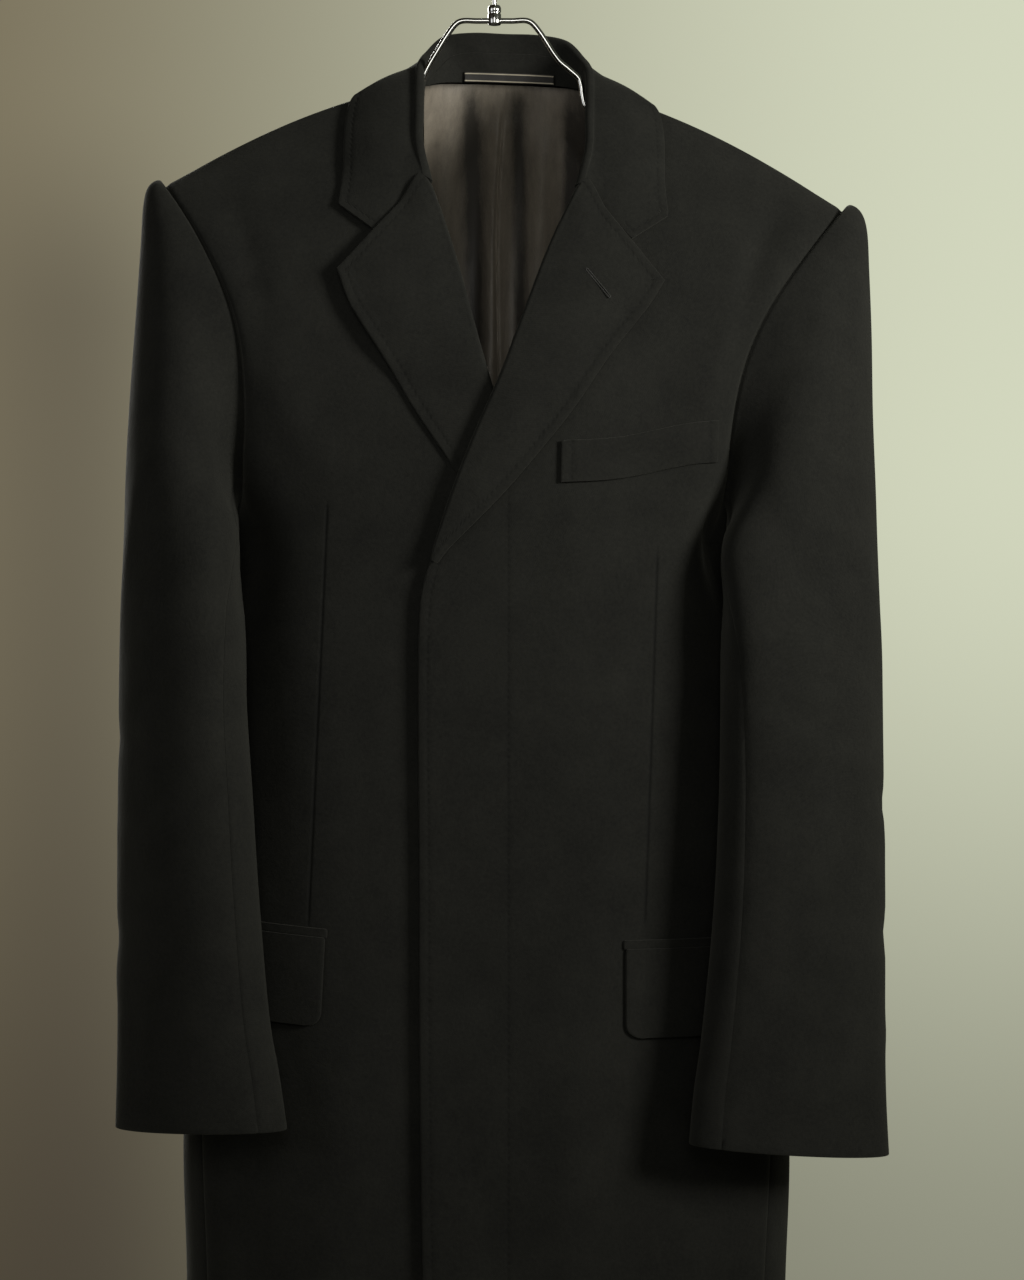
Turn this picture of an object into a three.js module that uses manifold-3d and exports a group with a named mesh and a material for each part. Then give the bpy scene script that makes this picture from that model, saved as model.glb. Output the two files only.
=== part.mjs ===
// Chesterfield coat hanging on a bent wire hanger, in millimetres, +Z up.
// The origin is the inside top of the hook, where the hanger bears on its rail. The coat's front faces -Y.
// The coat is first worked out square and symmetrical, then set askew as it hangs (see hang).
import * as THREE from 'three';
import { mergeVertices } from 'three/addons/utils/BufferGeometryUtils.js';
import Module from 'manifold-3d';

const WALL = 2.2; // heavy wool with its canvas
const LEAF = 2.3; // collar leaf, two layers
const SEAM = 0.15; // half of the gap at a seam
const OVERLAP_LIFT = 6.0; // how far the buttoned front lies out over the other one
const SQUARE = 2.3; // exponent of the body's rounded oblong section
const TILT = 0.036; // slope of the coat on its hanger
const WIRE_R = 2.0; // hanger wire
const HOOK_R = 1.5; // hook wire
const HOOK_BORE = 16.0; // inside radius of the hook
const CREST_R = 3.5; // radius of the collar's fold
const LIFT = 4.6; // outer face of a lapel or collar edge over the panel that it lies on

// Body sections under the armpit: half width, depth to the front and back, angle of the side seam from the front.
const BODY = [
  { z: -1200, half: 207, front: 95, back: 82, seam: 66 },
  { z: -1080, half: 207, front: 95, back: 82, seam: 66 },
  { z: -960, half: 208, front: 95, back: 81, seam: 66 },
  { z: -860, half: 211, front: 95, back: 80, seam: 67 },
  { z: -740, half: 205, front: 94, back: 79, seam: 73 },
  { z: -600, half: 198, front: 93, back: 78, seam: 81 },
  { z: -520, half: 195, front: 94, back: 79, seam: 86 },
  { z: -440, half: 192, front: 94, back: 80, seam: 90 },
];
const SECTION_ROWS = [-1200, -1110, -1020, -940, -860, -780, -700, -620, -560, -500, -466];

// Armhole: an oval seen from the side, drawn in towards the chest at mid height.
const ARMHOLE = { x: 214.25, z: -321, halfX: 22.25, halfZ: 119, halfY: 64, dip: 37 };
const RISE = [0, 0.08, 0.16, 0.25, 0.36, 0.48, 0.6, 0.7, 0.8, 0.86, 0.91, 0.96, 1]; // armpit to shoulder seam

// Inner edge of each panel over the armpit: rise, x from the middle, height, depth of the panel's middle.
const OVER_EDGE = [
  { v: 0, x: -38, z: -440, d: 94 },
  { v: 0.12, x: -27, z: -408, d: 94.5 },
  { v: 0.24, x: -13, z: -370, d: 93.5 },
  { v: 0.36, x: 2.3, z: -333, d: 91 },
  { v: 0.5, x: 17, z: -291, d: 83 },
  { v: 0.63, x: 31.5, z: -249, d: 72 },
  { v: 0.72, x: 43, z: -221, d: 60 },
  { v: 0.8, x: 55, z: -197, d: 47 },
  { v: 0.86, x: 60, z: -180, d: 34 },
  { v: 0.91, x: 64, z: -161, d: 21 },
  { v: 0.96, x: 67, z: -143, d: 9 },
  { v: 1, x: 68, z: -130, d: 0 },
];
const UNDER_EDGE = [
  { v: 0, x: -28, z: -440, d: 94 },
  { v: 0.12, x: -17, z: -410, d: 94.5 },
  { v: 0.24, x: -5, z: -374, d: 93.5 },
  { v: 0.36, x: 9, z: -338, d: 91 },
  { v: 0.5, x: 22, z: -295, d: 83 },
  { v: 0.63, x: 34, z: -253, d: 72 },
  { v: 0.72, x: 43.5, z: -224, d: 60 },
  { v: 0.8, x: 55, z: -197, d: 47 },
  { v: 0.86, x: 60, z: -180, d: 34 },
  { v: 0.91, x: 64, z: -161, d: 21 },
  { v: 0.96, x: 67, z: -143, d: 9 },
  { v: 1, x: 68, z: -130, d: 0 },
];
const BACK_EDGE = [
  { v: 0, x: 0.2, z: -440, d: 80 },
  { v: 0.25, x: 0.2, z: -345, d: 80 },
  { v: 0.5, x: 0.2, z: -240, d: 74 },
  { v: 0.65, x: 0.2, z: -170, d: 62 },
  { v: 0.78, x: 0.2, z: -115.5, d: 46 },
  { v: 0.84, x: 24, z: -116, d: 43 },
  { v: 0.89, x: 44, z: -118, d: 33 },
  { v: 0.95, x: 60, z: -123, d: 18 },
  { v: 1, x: 68, z: -130, d: 0 },
];
const BACK_RISE = [0, 0.08, 0.16, 0.25, 0.36, 0.48, 0.6, 0.7, 0.78, 0.8, 0.86, 0.91, 0.96, 1];

// Front edge under the armpit, x from the middle: the buttoned front, and the one under it.
const FRONT_EDGE = [
  { z: -1200, over: -38, under: -50 },
  { z: -943, over: -41, under: -50 },
  { z: -700, over: -47, under: -50 },
  { z: -560, over: -51, under: -50 },
  { z: -490, over: -51, under: -48 },
  { z: -466, over: -46.5, under: -37 },
  { z: -440, over: -38, under: -28 },
];

// Sleeve rings from the armhole to the cuff: outer line, inner line, half depth, inward draw.
// The left sleeve of the wearer (l) hangs a little fuller than the right one (r).
const SLEEVE = [
  { outL: 236.5, outR: 236.5, outY: 0, outZ: -202, inL: 192, inR: 192, inY: 0, inZ: -440, depth: 64, dip: 37 },
  { outL: 241, outR: 240, outY: 0, outZ: -198.5, inL: 194, inR: 194, inY: -1, inZ: -443, depth: 65, dip: 33.8 },
  { outL: 247, outR: 245, outY: -2, outZ: -203, inL: 195, inR: 195, inY: -4, inZ: -448, depth: 66, dip: 30 },
  { outL: 251, outR: 248, outY: -4, outZ: -217, inL: 194.5, inR: 195, inY: -9, inZ: -455, depth: 67, dip: 25 },
  { outL: 253, outR: 250, outY: -7, outZ: -245, inL: 191, inR: 193.5, inY: -18, inZ: -463, depth: 68, dip: 19 },
  { outL: 256, outR: 253, outY: -11, outZ: -290, inL: 183, inR: 189, inY: -32, inZ: -474, depth: 68, dip: 13 },
  { outL: 259, outR: 257, outY: -16, outZ: -345, inL: 172, inR: 184, inY: -50, inZ: -488, depth: 67, dip: 7 },
  { outL: 262, outR: 259, outY: -21, outZ: -405, inL: 163, inR: 178, inY: -66, inZ: -505, depth: 65, dip: 2 },
  { outL: 265, outR: 260, outY: -25, outZ: -470, inL: 158, inR: 173, inY: -76, inZ: -527, depth: 61, dip: 0 },
  { outL: 267, outR: 260, outY: -30, outZ: -540, inL: 155, inR: 169, inY: -84, inZ: -562, depth: 57, dip: 0 },
  { outL: 269, outR: 259, outY: -36, outZ: -610, inL: 153, inR: 163, inY: -90, inZ: -616, depth: 52, dip: 0 },
  { outL: 271, outR: 257, outY: -44, outZ: -690, inL: 150, inR: 156, inY: -95, inZ: -690, depth: 47, dip: 0 },
  { outL: 272, outR: 254, outY: -52, outZ: -770, inL: 144, inR: 147, inY: -100, inZ: -768, depth: 40, dip: 0 },
  { outL: 273, outR: 253, outY: -58, outZ: -820, inL: 139, inR: 139, inY: -105, inZ: -818, depth: 36, dip: 0 },
  { outL: 275, outR: 253, outY: -62, outZ: -862, inL: 136, inR: 133, inY: -109, inZ: -858, depth: 33, dip: 0 },
];
const FRONT_SLEEVE_SEAM = 135; // degrees round the sleeve from its top, forwards
const BACK_SLEEVE_SEAM = -115.2;

// Neck, from the gorge to the middle of the back: collar crest, neck seam, and the leaf's outer edge.
const NECK = [
  { cx: 54, cy: -56, cz: -190, nx: 55, ny: -47, nz: -197, ox: 112.5, oz: -216.4, leg: 6 },
  { cx: 58, cy: -47, cz: -170, nx: 60, ny: -34, nz: -180, ox: 110.5, oz: -191, leg: 8 },
  { cx: 59, cy: -32, cz: -147, nx: 64, ny: -21, nz: -161, ox: 109, oz: -164, leg: 10 },
  { cx: 59.5, cy: -16, cz: -126, nx: 67, ny: -9, nz: -143, ox: 107, oz: -146, leg: 11 },
  { cx: 59.5, cy: 0, cz: -111, nx: 68, ny: 0, nz: -130, ox: 104, oz: -134, leg: 11 },
  { cx: 58, cy: 10, cz: -104, nx: 65, ny: 9, nz: -126, ox: 99.5, oz: -136, leg: 11 },
  { cx: 55, cy: 19, cz: -98, nx: 60, ny: 18, nz: -123, ox: 92, oz: -139, leg: 11 },
  { cx: 44, cy: 34, cz: -88, nx: 44, ny: 33, nz: -118, ox: 74, oz: -143, leg: 11 },
  { cx: 24, cy: 43, cz: -81.5, nx: 24, ny: 43, nz: -116, ox: 42, oz: -147, leg: 11 },
  { cx: 0, cy: 46, cz: -80, nx: 0, ny: 46, nz: -115.5, ox: 0, oz: -148, leg: 11 },
];
const NOTCH = { x: 87.7, z: -234 };

// Lapels, from the gorge down: roll line and outer edge.
const OVER_LAPEL = [
  { rx: 54, rz: -195.5, ex: 109.5, ez: -263 },
  { rx: 43, rz: -221, ex: 100, ez: -279 },
  { rx: 31.5, rz: -249, ex: 89, ez: -294 },
  { rx: 17, rz: -291, ex: 71, ez: -318.5 },
  { rx: 2.3, rz: -333, ex: 50, ez: -351.5 },
  { rx: -11, rz: -365, ex: 29, ez: -379.5 },
  { rx: -22.5, rz: -394.7, ex: 6, ez: -408 },
  { rx: -33, rz: -425, ex: -15, ez: -431 },
  { rx: -41, rz: -447, ex: -32, ez: -449 },
  { rx: -44.5, rz: -459, ex: -41, ez: -461 },
];
const UNDER_LAPEL = [
  { rx: 54, rz: -195.5, ex: 111.5, ez: -263 },
  { rx: 43.5, rz: -224, ex: 103, ez: -285 },
  { rx: 34, rz: -253, ex: 93, ez: -301 },
  { rx: 22, rz: -295, ex: 77, ez: -325 },
  { rx: 9, rz: -338, ex: 58, ez: -356 },
  { rx: -4, rz: -374, ex: 39, ez: -383 },
  { rx: -14, rz: -402, ex: 20, ez: -409 },
  { rx: -22, rz: -424, ex: 0, ez: -428 },
  { rx: -28, rz: -440, ex: -17, ez: -441 },
  { rx: -32, rz: -452, ex: -29, ez: -453 },
];

const WELT = { x0: 42, z0: -377, x1: 148, z1: -358.5, drop: 27.5, lift: 3.4, thick: 2.6 };
const FLAP = { left: 92, right: 111.5, z: -711, slant: 0.05, turn: 140, lengthL: 122, lengthR: 108, jet: 5.5, drop: 66, corner: 9 };
const TAPE = { x: 3, half: 32, drop: 1.5, high: 7, thick: 0.9 };
const LINING = { half: 57, bottom: -430, thick: 1.2, clear: 4.4 };

const RAD = Math.PI / 180;

const mix = (a, b, t) => a + (b - a) * t;

function fade(from, to, value) {
  const t = Math.min(1, Math.max(0, (value - from) / (to - from)));
  return t * t * (3 - 2 * t);
}

// Smooth curve through one column of a table, by another column that rises or falls all the way.
function along(table, key, value, column) {
  const last = table.length - 1;
  const rising = table[last][key] > table[0][key];
  let i = 0;
  while (i < last - 1 && (rising ? value > table[i + 1][key] : value < table[i + 1][key])) {
    i += 1;
  }
  const step = table[i + 1][key] - table[i][key];
  const t = Math.min(1, Math.max(0, (value - table[i][key]) / step));
  const slope = (k) => {
    const lo = Math.max(0, k - 1);
    const hi = Math.min(last, k + 1);
    return (table[hi][column] - table[lo][column]) / (table[hi][key] - table[lo][key]);
  };
  const a = table[i][column];
  const b = table[i + 1][column];
  const m0 = slope(i) * step;
  const m1 = slope(i + 1) * step;
  const t2 = t * t;
  const t3 = t2 * t;
  return (2 * t3 - 3 * t2 + 1) * a + (t3 - 2 * t2 + t) * m0 + (3 * t2 - 2 * t3) * b + (t3 - t2) * m1;
}

const vec = (x, y, z) => new THREE.Vector3(x, y, z);
const profile = (u) => Math.pow(Math.max(0, 1 - Math.pow(Math.abs(u), SQUARE)), 1 / SQUARE);
const acrossAt = (angle) => Math.sign(Math.sin(angle)) * Math.pow(Math.abs(Math.sin(angle)), 2 / SQUARE);
const angleAt = (u) => Math.sign(u) * Math.asin(Math.min(1, Math.pow(Math.abs(u), SQUARE / 2)));

function armhole(turn) {
  const s = Math.sin(turn);
  const c = Math.cos(turn);
  const x = ARMHOLE.x + ARMHOLE.halfX * c - ARMHOLE.dip * s * s;
  return vec(x, -ARMHOLE.halfY * s, ARMHOLE.z + ARMHOLE.halfZ * c);
}

// Soft upright folds that open towards the hem, fuller at the sides and back.
function fold(angle, z) {
  const open = fade(-540, -1150, z);
  const gate = fade(55 * RAD, 110 * RAD, Math.abs(angle));
  return open * (0.8 * Math.cos(4 * angle) + gate * 3.2 * Math.cos(7 * angle + 0.5));
}

// A point of the body under the armpit. Angle 0 is the middle of the front, 180 degrees the middle of the back.
function lower(angle, z) {
  const half = along(BODY, 'z', z, 'half');
  const front = Math.cos(angle) > 0;
  const depth = along(BODY, 'z', z, front ? 'front' : 'back');
  const u = acrossAt(angle);
  const push = fold(angle, z);
  const x = u * (half + push * Math.abs(u));
  return vec(x, (front ? -1 : 1) * profile(u) * (depth + push), z);
}

// A point of a panel over the armpit: v runs up from the armpit to the shoulder seam, u out from the middle.
function upper(edge, facing, v, u) {
  const turn = Math.PI * (1 - v);
  const arm = armhole(turn);
  const armY = Math.abs(arm.y);
  const ex = facing > 0 ? Math.max(0.2, along(edge, 'v', v, 'x')) : along(edge, 'v', v, 'x');
  const ez = along(edge, 'v', v, 'z');
  const depth = along(edge, 'v', v, 'd');
  const x = u * arm.x;
  const w = (x - ex) / (arm.x - ex);
  const bend = w > 0 ? Math.pow(w, 1 + 0.51 * v * v) : w;
  const beside = mix(Math.pow(Math.abs(u), 10), 1 - profile(u), fade(0, 0.35, v));
  const y = depth * profile(u) + armY * beside;
  return vec(x, facing * y, ez + (arm.z - ez) * bend);
}

// Depth of a panel at a place seen from the front or back.
function surfaceY(edge, facing, x, z) {
  if (z <= -440) {
    const half = along(BODY, 'z', z, 'half');
    const depth = along(BODY, 'z', z, facing < 0 ? 'front' : 'back');
    return facing * depth * profile(Math.min(0.999, x / half));
  }
  let lo = 0;
  let hi = 1;
  for (let i = 0; i < 40; i += 1) {
    const v = (lo + hi) / 2;
    const p = upper(edge, facing, v, Math.min(0.999, x / armhole(Math.PI * (1 - v)).x));
    if (p.z < z) {
      lo = v;
    } else {
      hi = v;
    }
  }
  return upper(edge, facing, lo, Math.min(0.999, x / armhole(Math.PI * (1 - lo)).x)).y;
}

// The buttoned front lies out over the other one near the middle.
function overlap(x, z) {
  return OVERLAP_LIFT * (1 - fade(48, 112, x)) * (1 - fade(-325, -245, z));
}

// The way into the cloth, shared by all body panels so that their seams stay parted.
function inward(p) {
  const target = vec(p.x * 0.75, 0, p.z - 0.45 * Math.max(0, p.z + 330));
  return target.sub(p).normalize();
}

function inwardAtArmhole(p) {
  return vec(ARMHOLE.x - 6, 0, ARMHOLE.z).sub(p).normalize();
}

// Sets a point of the square coat askew as it hangs. Side is 1 for the wearer's left, which is +X.
const DRIFT = [
  { z: -1200, x: -5.5 },
  { z: -860, x: -5.5 },
  { z: -600, x: 0 },
  { z: -400, x: 3.5 },
  { z: -200, x: 6.5 },
  { z: -80, x: 7.5 },
];

function hang(p, side) {
  const x = side * p.x + along(DRIFT, 'z', p.z, 'x');
  const slope = TILT * mix(0.35, 1, fade(-1200, -880, p.z));
  return vec(x, p.y, p.z - slope * x);
}

// A closed body between two grids of points that match row by row.
function slab(outer, inner) {
  const rows = outer.length;
  const cols = outer[0].length;
  const positions = [];
  for (const grid of [outer, inner]) {
    for (const row of grid) {
      for (const p of row) {
        positions.push(p.x, p.y, p.z);
      }
    }
  }
  const half = rows * cols;
  const index = [];
  const quad = (a, b, c, d) => index.push(a, b, c, a, c, d);
  for (let j = 0; j < cols - 1; j += 1) {
    const end = (rows - 1) * cols + j;
    quad(j, half + j, half + j + 1, j + 1);
    quad(end, end + 1, half + end + 1, half + end);
  }
  for (let i = 0; i < rows - 1; i += 1) {
    const a = i * cols;
    const b = a + cols - 1;
    quad(a, a + cols, half + a + cols, half + a);
    quad(b, half + b, half + b + cols, b + cols);
  }
  for (let i = 0; i < rows - 1; i += 1) {
    for (let j = 0; j < cols - 1; j += 1) {
      const a = i * cols + j;
      quad(a, a + 1, a + cols + 1, a + cols);
      quad(half + a, half + a + cols, half + a + cols + 1, half + a + 1);
    }
  }
  const geometry = new THREE.BufferGeometry();
  geometry.setAttribute('position', new THREE.Float32BufferAttribute(positions, 3));
  geometry.setIndex(volume(positions, index) < 0 ? index.reverse() : index);
  geometry.computeVertexNormals();
  return geometry;
}

function volume(positions, index) {
  const at = (k) => vec(positions[3 * k], positions[3 * k + 1], positions[3 * k + 2]);
  let sum = 0;
  for (let i = 0; i < index.length; i += 3) {
    sum += at(index[i]).dot(at(index[i + 1]).cross(at(index[i + 2])));
  }
  return sum / 6;
}

const moved = (p, direction, by) => p.clone().addScaledVector(direction, by);

const coat = new THREE.Group();
const wool = new THREE.MeshStandardMaterial({ color: 0x17160f, roughness: 0.93, metalness: 0 });
const satin = new THREE.MeshStandardMaterial({ color: 0x2e2722, roughness: 0.42, metalness: 0 });
const ribbon = new THREE.MeshStandardMaterial({ color: 0x1d1a16, roughness: 0.6, metalness: 0 });
const chrome = new THREE.MeshStandardMaterial({ color: 0xc9c8c4, roughness: 0.18, metalness: 1 });

function add(name, geometry, material) {
  const mesh = new THREE.Mesh(geometry, material);
  mesh.name = name;
  coat.add(mesh);
}

// Front or back panel of one side, from the hem to the shoulder seam.
function bodyPanel(name, edge, facing, side, over) {
  const outer = [];
  const inner = [];
  const columns = 10;
  const addRow = (points, atArm) => {
    const lifted = points.map((p) => (over ? vec(p.x, p.y - overlap(p.x, p.z), p.z) : p));
    outer.push(lifted.map((p) => hang(p, side)));
    inner.push(lifted.map((p, j) => {
      const way = atArm && j === columns ? inwardAtArmhole(p) : inward(p);
      return hang(moved(p, way, WALL), side);
    }));
  };
  for (const z of SECTION_ROWS) {
    const half = along(BODY, 'z', z, 'half');
    const seam = along(BODY, 'z', z, 'seam') * RAD;
    const edgeX = facing > 0 ? 0.2 : along(FRONT_EDGE, 'z', z, over ? 'over' : 'under');
    const start = facing > 0 ? Math.PI - angleAt(edgeX / half) : angleAt(edgeX / half);
    const end = facing > 0 ? seam + 0.0012 : seam - 0.0012;
    const row = [];
    for (let j = 0; j <= columns; j += 1) {
      row.push(lower(mix(start, end, j / columns), z));
    }
    addRow(row, false);
  }
  for (const v of facing > 0 ? BACK_RISE : RISE) {
    const arm = armhole(Math.PI * (1 - v));
    const edgeX = along(edge, 'v', v, 'x');
    const start = angleAt((facing > 0 ? Math.max(0.2, edgeX) : edgeX) / arm.x);
    const row = [];
    for (let j = 0; j <= columns; j += 1) {
      const p = upper(edge, facing, v, acrossAt(mix(start, 90 * RAD - 0.0014, j / columns)));
      row.push(v === 1 ? vec(p.x, p.y + facing * SEAM, p.z) : p);
    }
    addRow(row, true);
  }
  add(name, over ? slab(outer.reverse(), inner.reverse()) : slab(outer, inner), wool);
}

bodyPanel('front_left', OVER_EDGE, -1, 1, true);
bodyPanel('front_right', UNDER_EDGE, -1, -1, false);
bodyPanel('back_left', BACK_EDGE, 1, 1, false);
bodyPanel('back_right', BACK_EDGE, 1, -1, false);

// Keeps a sleeve point clear of the body beside it.
function clearOfBody(p) {
  if (p.z > -440) {
    return p;
  }
  const gap = 0.8 + 5.7 * fade(-440, -520, p.z);
  const half = along(BODY, 'z', p.z, 'half') + gap;
  const depth = along(BODY, 'z', p.z, p.y < 0 ? 'front' : 'back') + gap;
  const f = Math.pow(Math.abs(p.x) / half, SQUARE) + Math.pow(Math.abs(p.y) / depth, SQUARE);
  if (f >= 1) {
    return p;
  }
  const grow = Math.pow(f, -1 / SQUARE);
  return vec(p.x * grow, p.y * grow, p.z);
}

function sleeveRing(ring, side) {
  const outX = side > 0 ? ring.outL : ring.outR;
  const inX = side > 0 ? ring.inL : ring.inR;
  const centre = vec((outX + inX) / 2, (ring.outY + ring.inY) / 2, (ring.outZ + ring.inZ) / 2);
  const lean = vec((outX - inX) / 2, (ring.outY - ring.inY) / 2, (ring.outZ - ring.inZ) / 2);
  return (turn) => {
    const s = Math.sin(turn);
    const p = moved(centre, lean, Math.cos(turn));
    return { point: clearOfBody(vec(p.x - ring.dip * s * s, p.y - ring.depth * s, p.z)), centre };
  };
}

// One half of a sleeve, between two angles round it.
function sleevePanel(name, side, turns) {
  const outer = [];
  const inner = [];
  SLEEVE.forEach((ring, i) => {
    const at = sleeveRing(ring, side);
    const outerRow = [];
    const innerRow = [];
    turns.forEach((degrees, j) => {
      const seam = j === 0 ? 0.15 : j === turns.length - 1 ? -0.15 : 0;
      const { point, centre } = at((degrees + seam) * RAD);
      const p = i === 0 ? vec(point.x + 2.4 * SEAM, point.y, point.z) : point;
      const way = i === 0 ? inwardAtArmhole(p) : vec(centre.x, centre.y, i > 8 ? p.z : mix(centre.z, p.z, i / 9)).sub(p).normalize();
      outerRow.push(hang(p, side));
      innerRow.push(hang(moved(p, way, WALL), side));
    });
    outer.push(outerRow);
    inner.push(innerRow);
  });
  add(name, slab(outer, inner), wool);
}

const frontTurns = RISE.map((v) => 180 * (1 - v)); // 180 at the armpit down to 0 at the shoulder
const backTurns = frontTurns.map((t) => 360 - t);
const topTurns = [
  ...backTurns.filter((t) => t - 360 >= BACK_SLEEVE_SEAM - 0.01).map((t) => t - 360),
  ...frontTurns.filter((t) => t <= FRONT_SLEEVE_SEAM + 0.01 && t > 0).reverse(),
];
const underTurns = [
  ...frontTurns.filter((t) => t >= FRONT_SLEEVE_SEAM - 0.01).reverse(),
  ...backTurns.filter((t) => t > 180.01 && t - 360 <= BACK_SLEEVE_SEAM + 0.01),
];
sleevePanel('sleeve_top_left', 1, topTurns);
sleevePanel('sleeve_top_right', -1, topTurns);
sleevePanel('sleeve_under_left', 1, underTurns);
sleevePanel('sleeve_under_right', -1, underTurns);

// A patch on the front: points over the panel, moved out by lift, with its own thickness.
function frontPatch(name, rows, edge, side, over, liftAt, thick, material) {
  const place = (q, lift) => {
    const base = surfaceY(edge, -1, q.x, q.z) - (over ? overlap(q.x, q.z) : 0);
    return hang(vec(q.x, base - lift, q.z), side);
  };
  const outer = rows.map((row) => row.map((q) => place(q, liftAt(q))));
  const inner = rows.map((row) => row.map((q) => place(q, liftAt(q) - thick)));
  add(name, slab(outer, inner), material);
}

function lapel(name, table, edge, side, over) {
  const columns = 5;
  const rows = table.map((row, i) => {
    const points = [];
    for (let j = 0; j <= columns; j += 1) {
      const t = j / columns;
      const width = Math.hypot(row.ex - row.rx, row.ez - row.rz);
      points.push({ x: mix(row.rx, row.ex, t), z: mix(row.rz, row.ez, t), t, i, width });
    }
    return points;
  });
  const liftAt = (q) => {
    const roll = Math.sin(Math.PI * Math.min(1, q.t * 1.15)) * Math.min(3.5, q.width * 0.05);
    if (over) {
      return LIFT + roll;
    }
    const hidden = fade(-300, -345, q.z); // lies flat where the other front covers it
    return mix(LIFT + roll, 2.6, hidden);
  };
  frontPatch(name, rows, edge, side, over, liftAt, 2.0, wool);
}

lapel('lapel_left', OVER_LAPEL, OVER_EDGE, 1, true);
lapel('lapel_right', UNDER_LAPEL, UNDER_EDGE, -1, false);

// Outer edge of the collar leaf on the panel under it.
function leafEdge(x, z, row) {
  if (row === 4) {
    return vec(x, 0, upper(OVER_EDGE, -1, 1, x / armhole(0).x).z + LIFT);
  }
  if (row < 2) {
    return vec(x, surfaceY(OVER_EDGE, -1, x, z) - LIFT, z);
  }
  const base = vec(x, row < 4 ? surfaceY(OVER_EDGE, -1, x, z) : surfaceY(BACK_EDGE, 1, x, z), z);
  return moved(base, inward(base), -LIFT - 0.5);
}

// Frame of the collar's fold: the crest's run, the way out and the way up.
function neckFrame(k) {
  const row = NECK[k];
  const before = NECK[Math.max(0, k - 1)];
  const after = NECK[Math.min(NECK.length - 1, k + 1)];
  const run = vec(after.cx - before.cx, after.cy - before.cy, after.cz - before.cz);
  if (k === NECK.length - 1) {
    run.set(-1, 0, 0);
  }
  run.normalize();
  const up = moved(vec(0, 0, 1), run, -run.z).normalize();
  const out = new THREE.Vector3().crossVectors(up, run).normalize();
  if (out.x * row.cx + out.y * (row.cy + 8) < 0) {
    out.negate();
  }
  const crest = vec(row.cx, row.cy, row.cz);
  return { row, up, out, crest, hub: moved(crest, up, -CREST_R) };
}

// One row of the collar: up the inside, over the fold and down the leaf.
function collarRow(k) {
  const { row, up, out, hub } = neckFrame(k);
  const outer = [];
  const inner = [];
  for (const down of [row.leg, row.leg * 0.5]) {
    const p = moved(moved(hub, out, -CREST_R), up, -down);
    outer.push(p);
    inner.push(moved(p, out, LEAF));
  }
  for (const degrees of [0, 45, 90, 135, 180]) {
    const way = moved(out.clone().multiplyScalar(-Math.cos(degrees * RAD)), up, Math.sin(degrees * RAD));
    outer.push(moved(hub, way, CREST_R));
    inner.push(moved(hub, way, CREST_R - LEAF));
  }
  const start = outer[outer.length - 1];
  const leaf = 5;
  for (let j = 1; j <= leaf; j += 1) {
    let p;
    if (k === 0) {
      const line = j <= 3 ? { x: mix(row.nx, NOTCH.x, j / 3), z: mix(row.nz, NOTCH.z, j / 3) }
        : { x: mix(NOTCH.x, row.ox, (j - 3) / 2), z: mix(NOTCH.z, row.oz, (j - 3) / 2) };
      p = leafEdge(line.x, line.z - 0.1, 0);
    } else {
      const end = leafEdge(row.ox, row.oz, k);
      p = start.clone().lerp(end, j / leaf);
      const bulge = 3.2 * Math.sin(Math.PI * j / leaf);
      p = moved(p, k < 4 ? vec(0, -0.85, 0.5) : k === 4 ? vec(0, 0, 1) : vec(0.1, 0.75, 0.65), bulge);
    }
    const way = k < 4 ? vec(-0.15, 0.9, -0.4) : k === 4 ? vec(-0.1, 0, -1) : vec(-0.1, -0.9, -0.4);
    outer.push(p);
    inner.push(moved(p, way.normalize(), LEAF));
  }
  return { outer, inner };
}

function mirrored(rowsOf) {
  const outer = [];
  const inner = [];
  const last = NECK.length - 1;
  for (let k = 0; k < 2 * last + 1; k += 1) {
    const side = k <= last ? -1 : 1;
    const made = rowsOf(k <= last ? k : 2 * last - k);
    outer.push(made.outer.map((p) => hang(p, side)));
    inner.push(made.inner.map((p) => hang(p, side)));
  }
  return slab(outer, inner);
}

add('collar', mirrored(collarRow), wool);

// The stand inside the neck, from the collar's inner seam to the neck seam.
function standRow(k) {
  const { row, up, out, hub } = neckFrame(k);
  const top = moved(moved(hub, out, -CREST_R), up, -row.leg - 2 * SEAM);
  const level = vec(out.x, out.y, 0).normalize();
  const bottom = moved(vec(row.nx, row.ny, row.nz + 0.6), level, -3.6);
  const outer = [top, top.clone().lerp(bottom, 0.5), bottom];
  return { outer, inner: outer.map((p) => moved(p, level, 1.9)) };
}

add('collar_stand', mirrored(standRow), wool);

// Inside face of the stand at a place across the back neck.
function standFace(x, rise) {
  const last = NECK.length - 1;
  const rows = [];
  for (let k = last; k > 3; k -= 1) {
    const p = standRow(k).outer;
    rows.push({ x: p[2].x, y: p[2].y, z: p[2].z, ty: p[0].y, tz: p[0].z });
  }
  const a = Math.abs(x);
  const z = along(rows, 'x', a, 'z');
  const tz = along(rows, 'x', a, 'tz');
  const t = rise / (tz - z);
  return vec(x, mix(along(rows, 'x', a, 'y'), along(rows, 'x', a, 'ty'), t), z + rise);
}

function neckTape() {
  const outer = [];
  const inner = [];
  for (let i = 0; i <= 8; i += 1) {
    const x = TAPE.x + mix(-TAPE.half, TAPE.half, i / 8);
    const points = [0, 1].map((t) => standFace(x, mix(0.2, TAPE.high, t)));
    const way = vec(-x * 0.012, -1, 0).normalize();
    outer.push(points.map((p) => hang(moved(p, way, TAPE.thick + 1.5), 1)));
    inner.push(points.map((p) => hang(moved(p, way, 1.5), 1)));
  }
  return slab(outer, inner);
}

add('neck_tape', neckTape(), ribbon);

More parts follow.
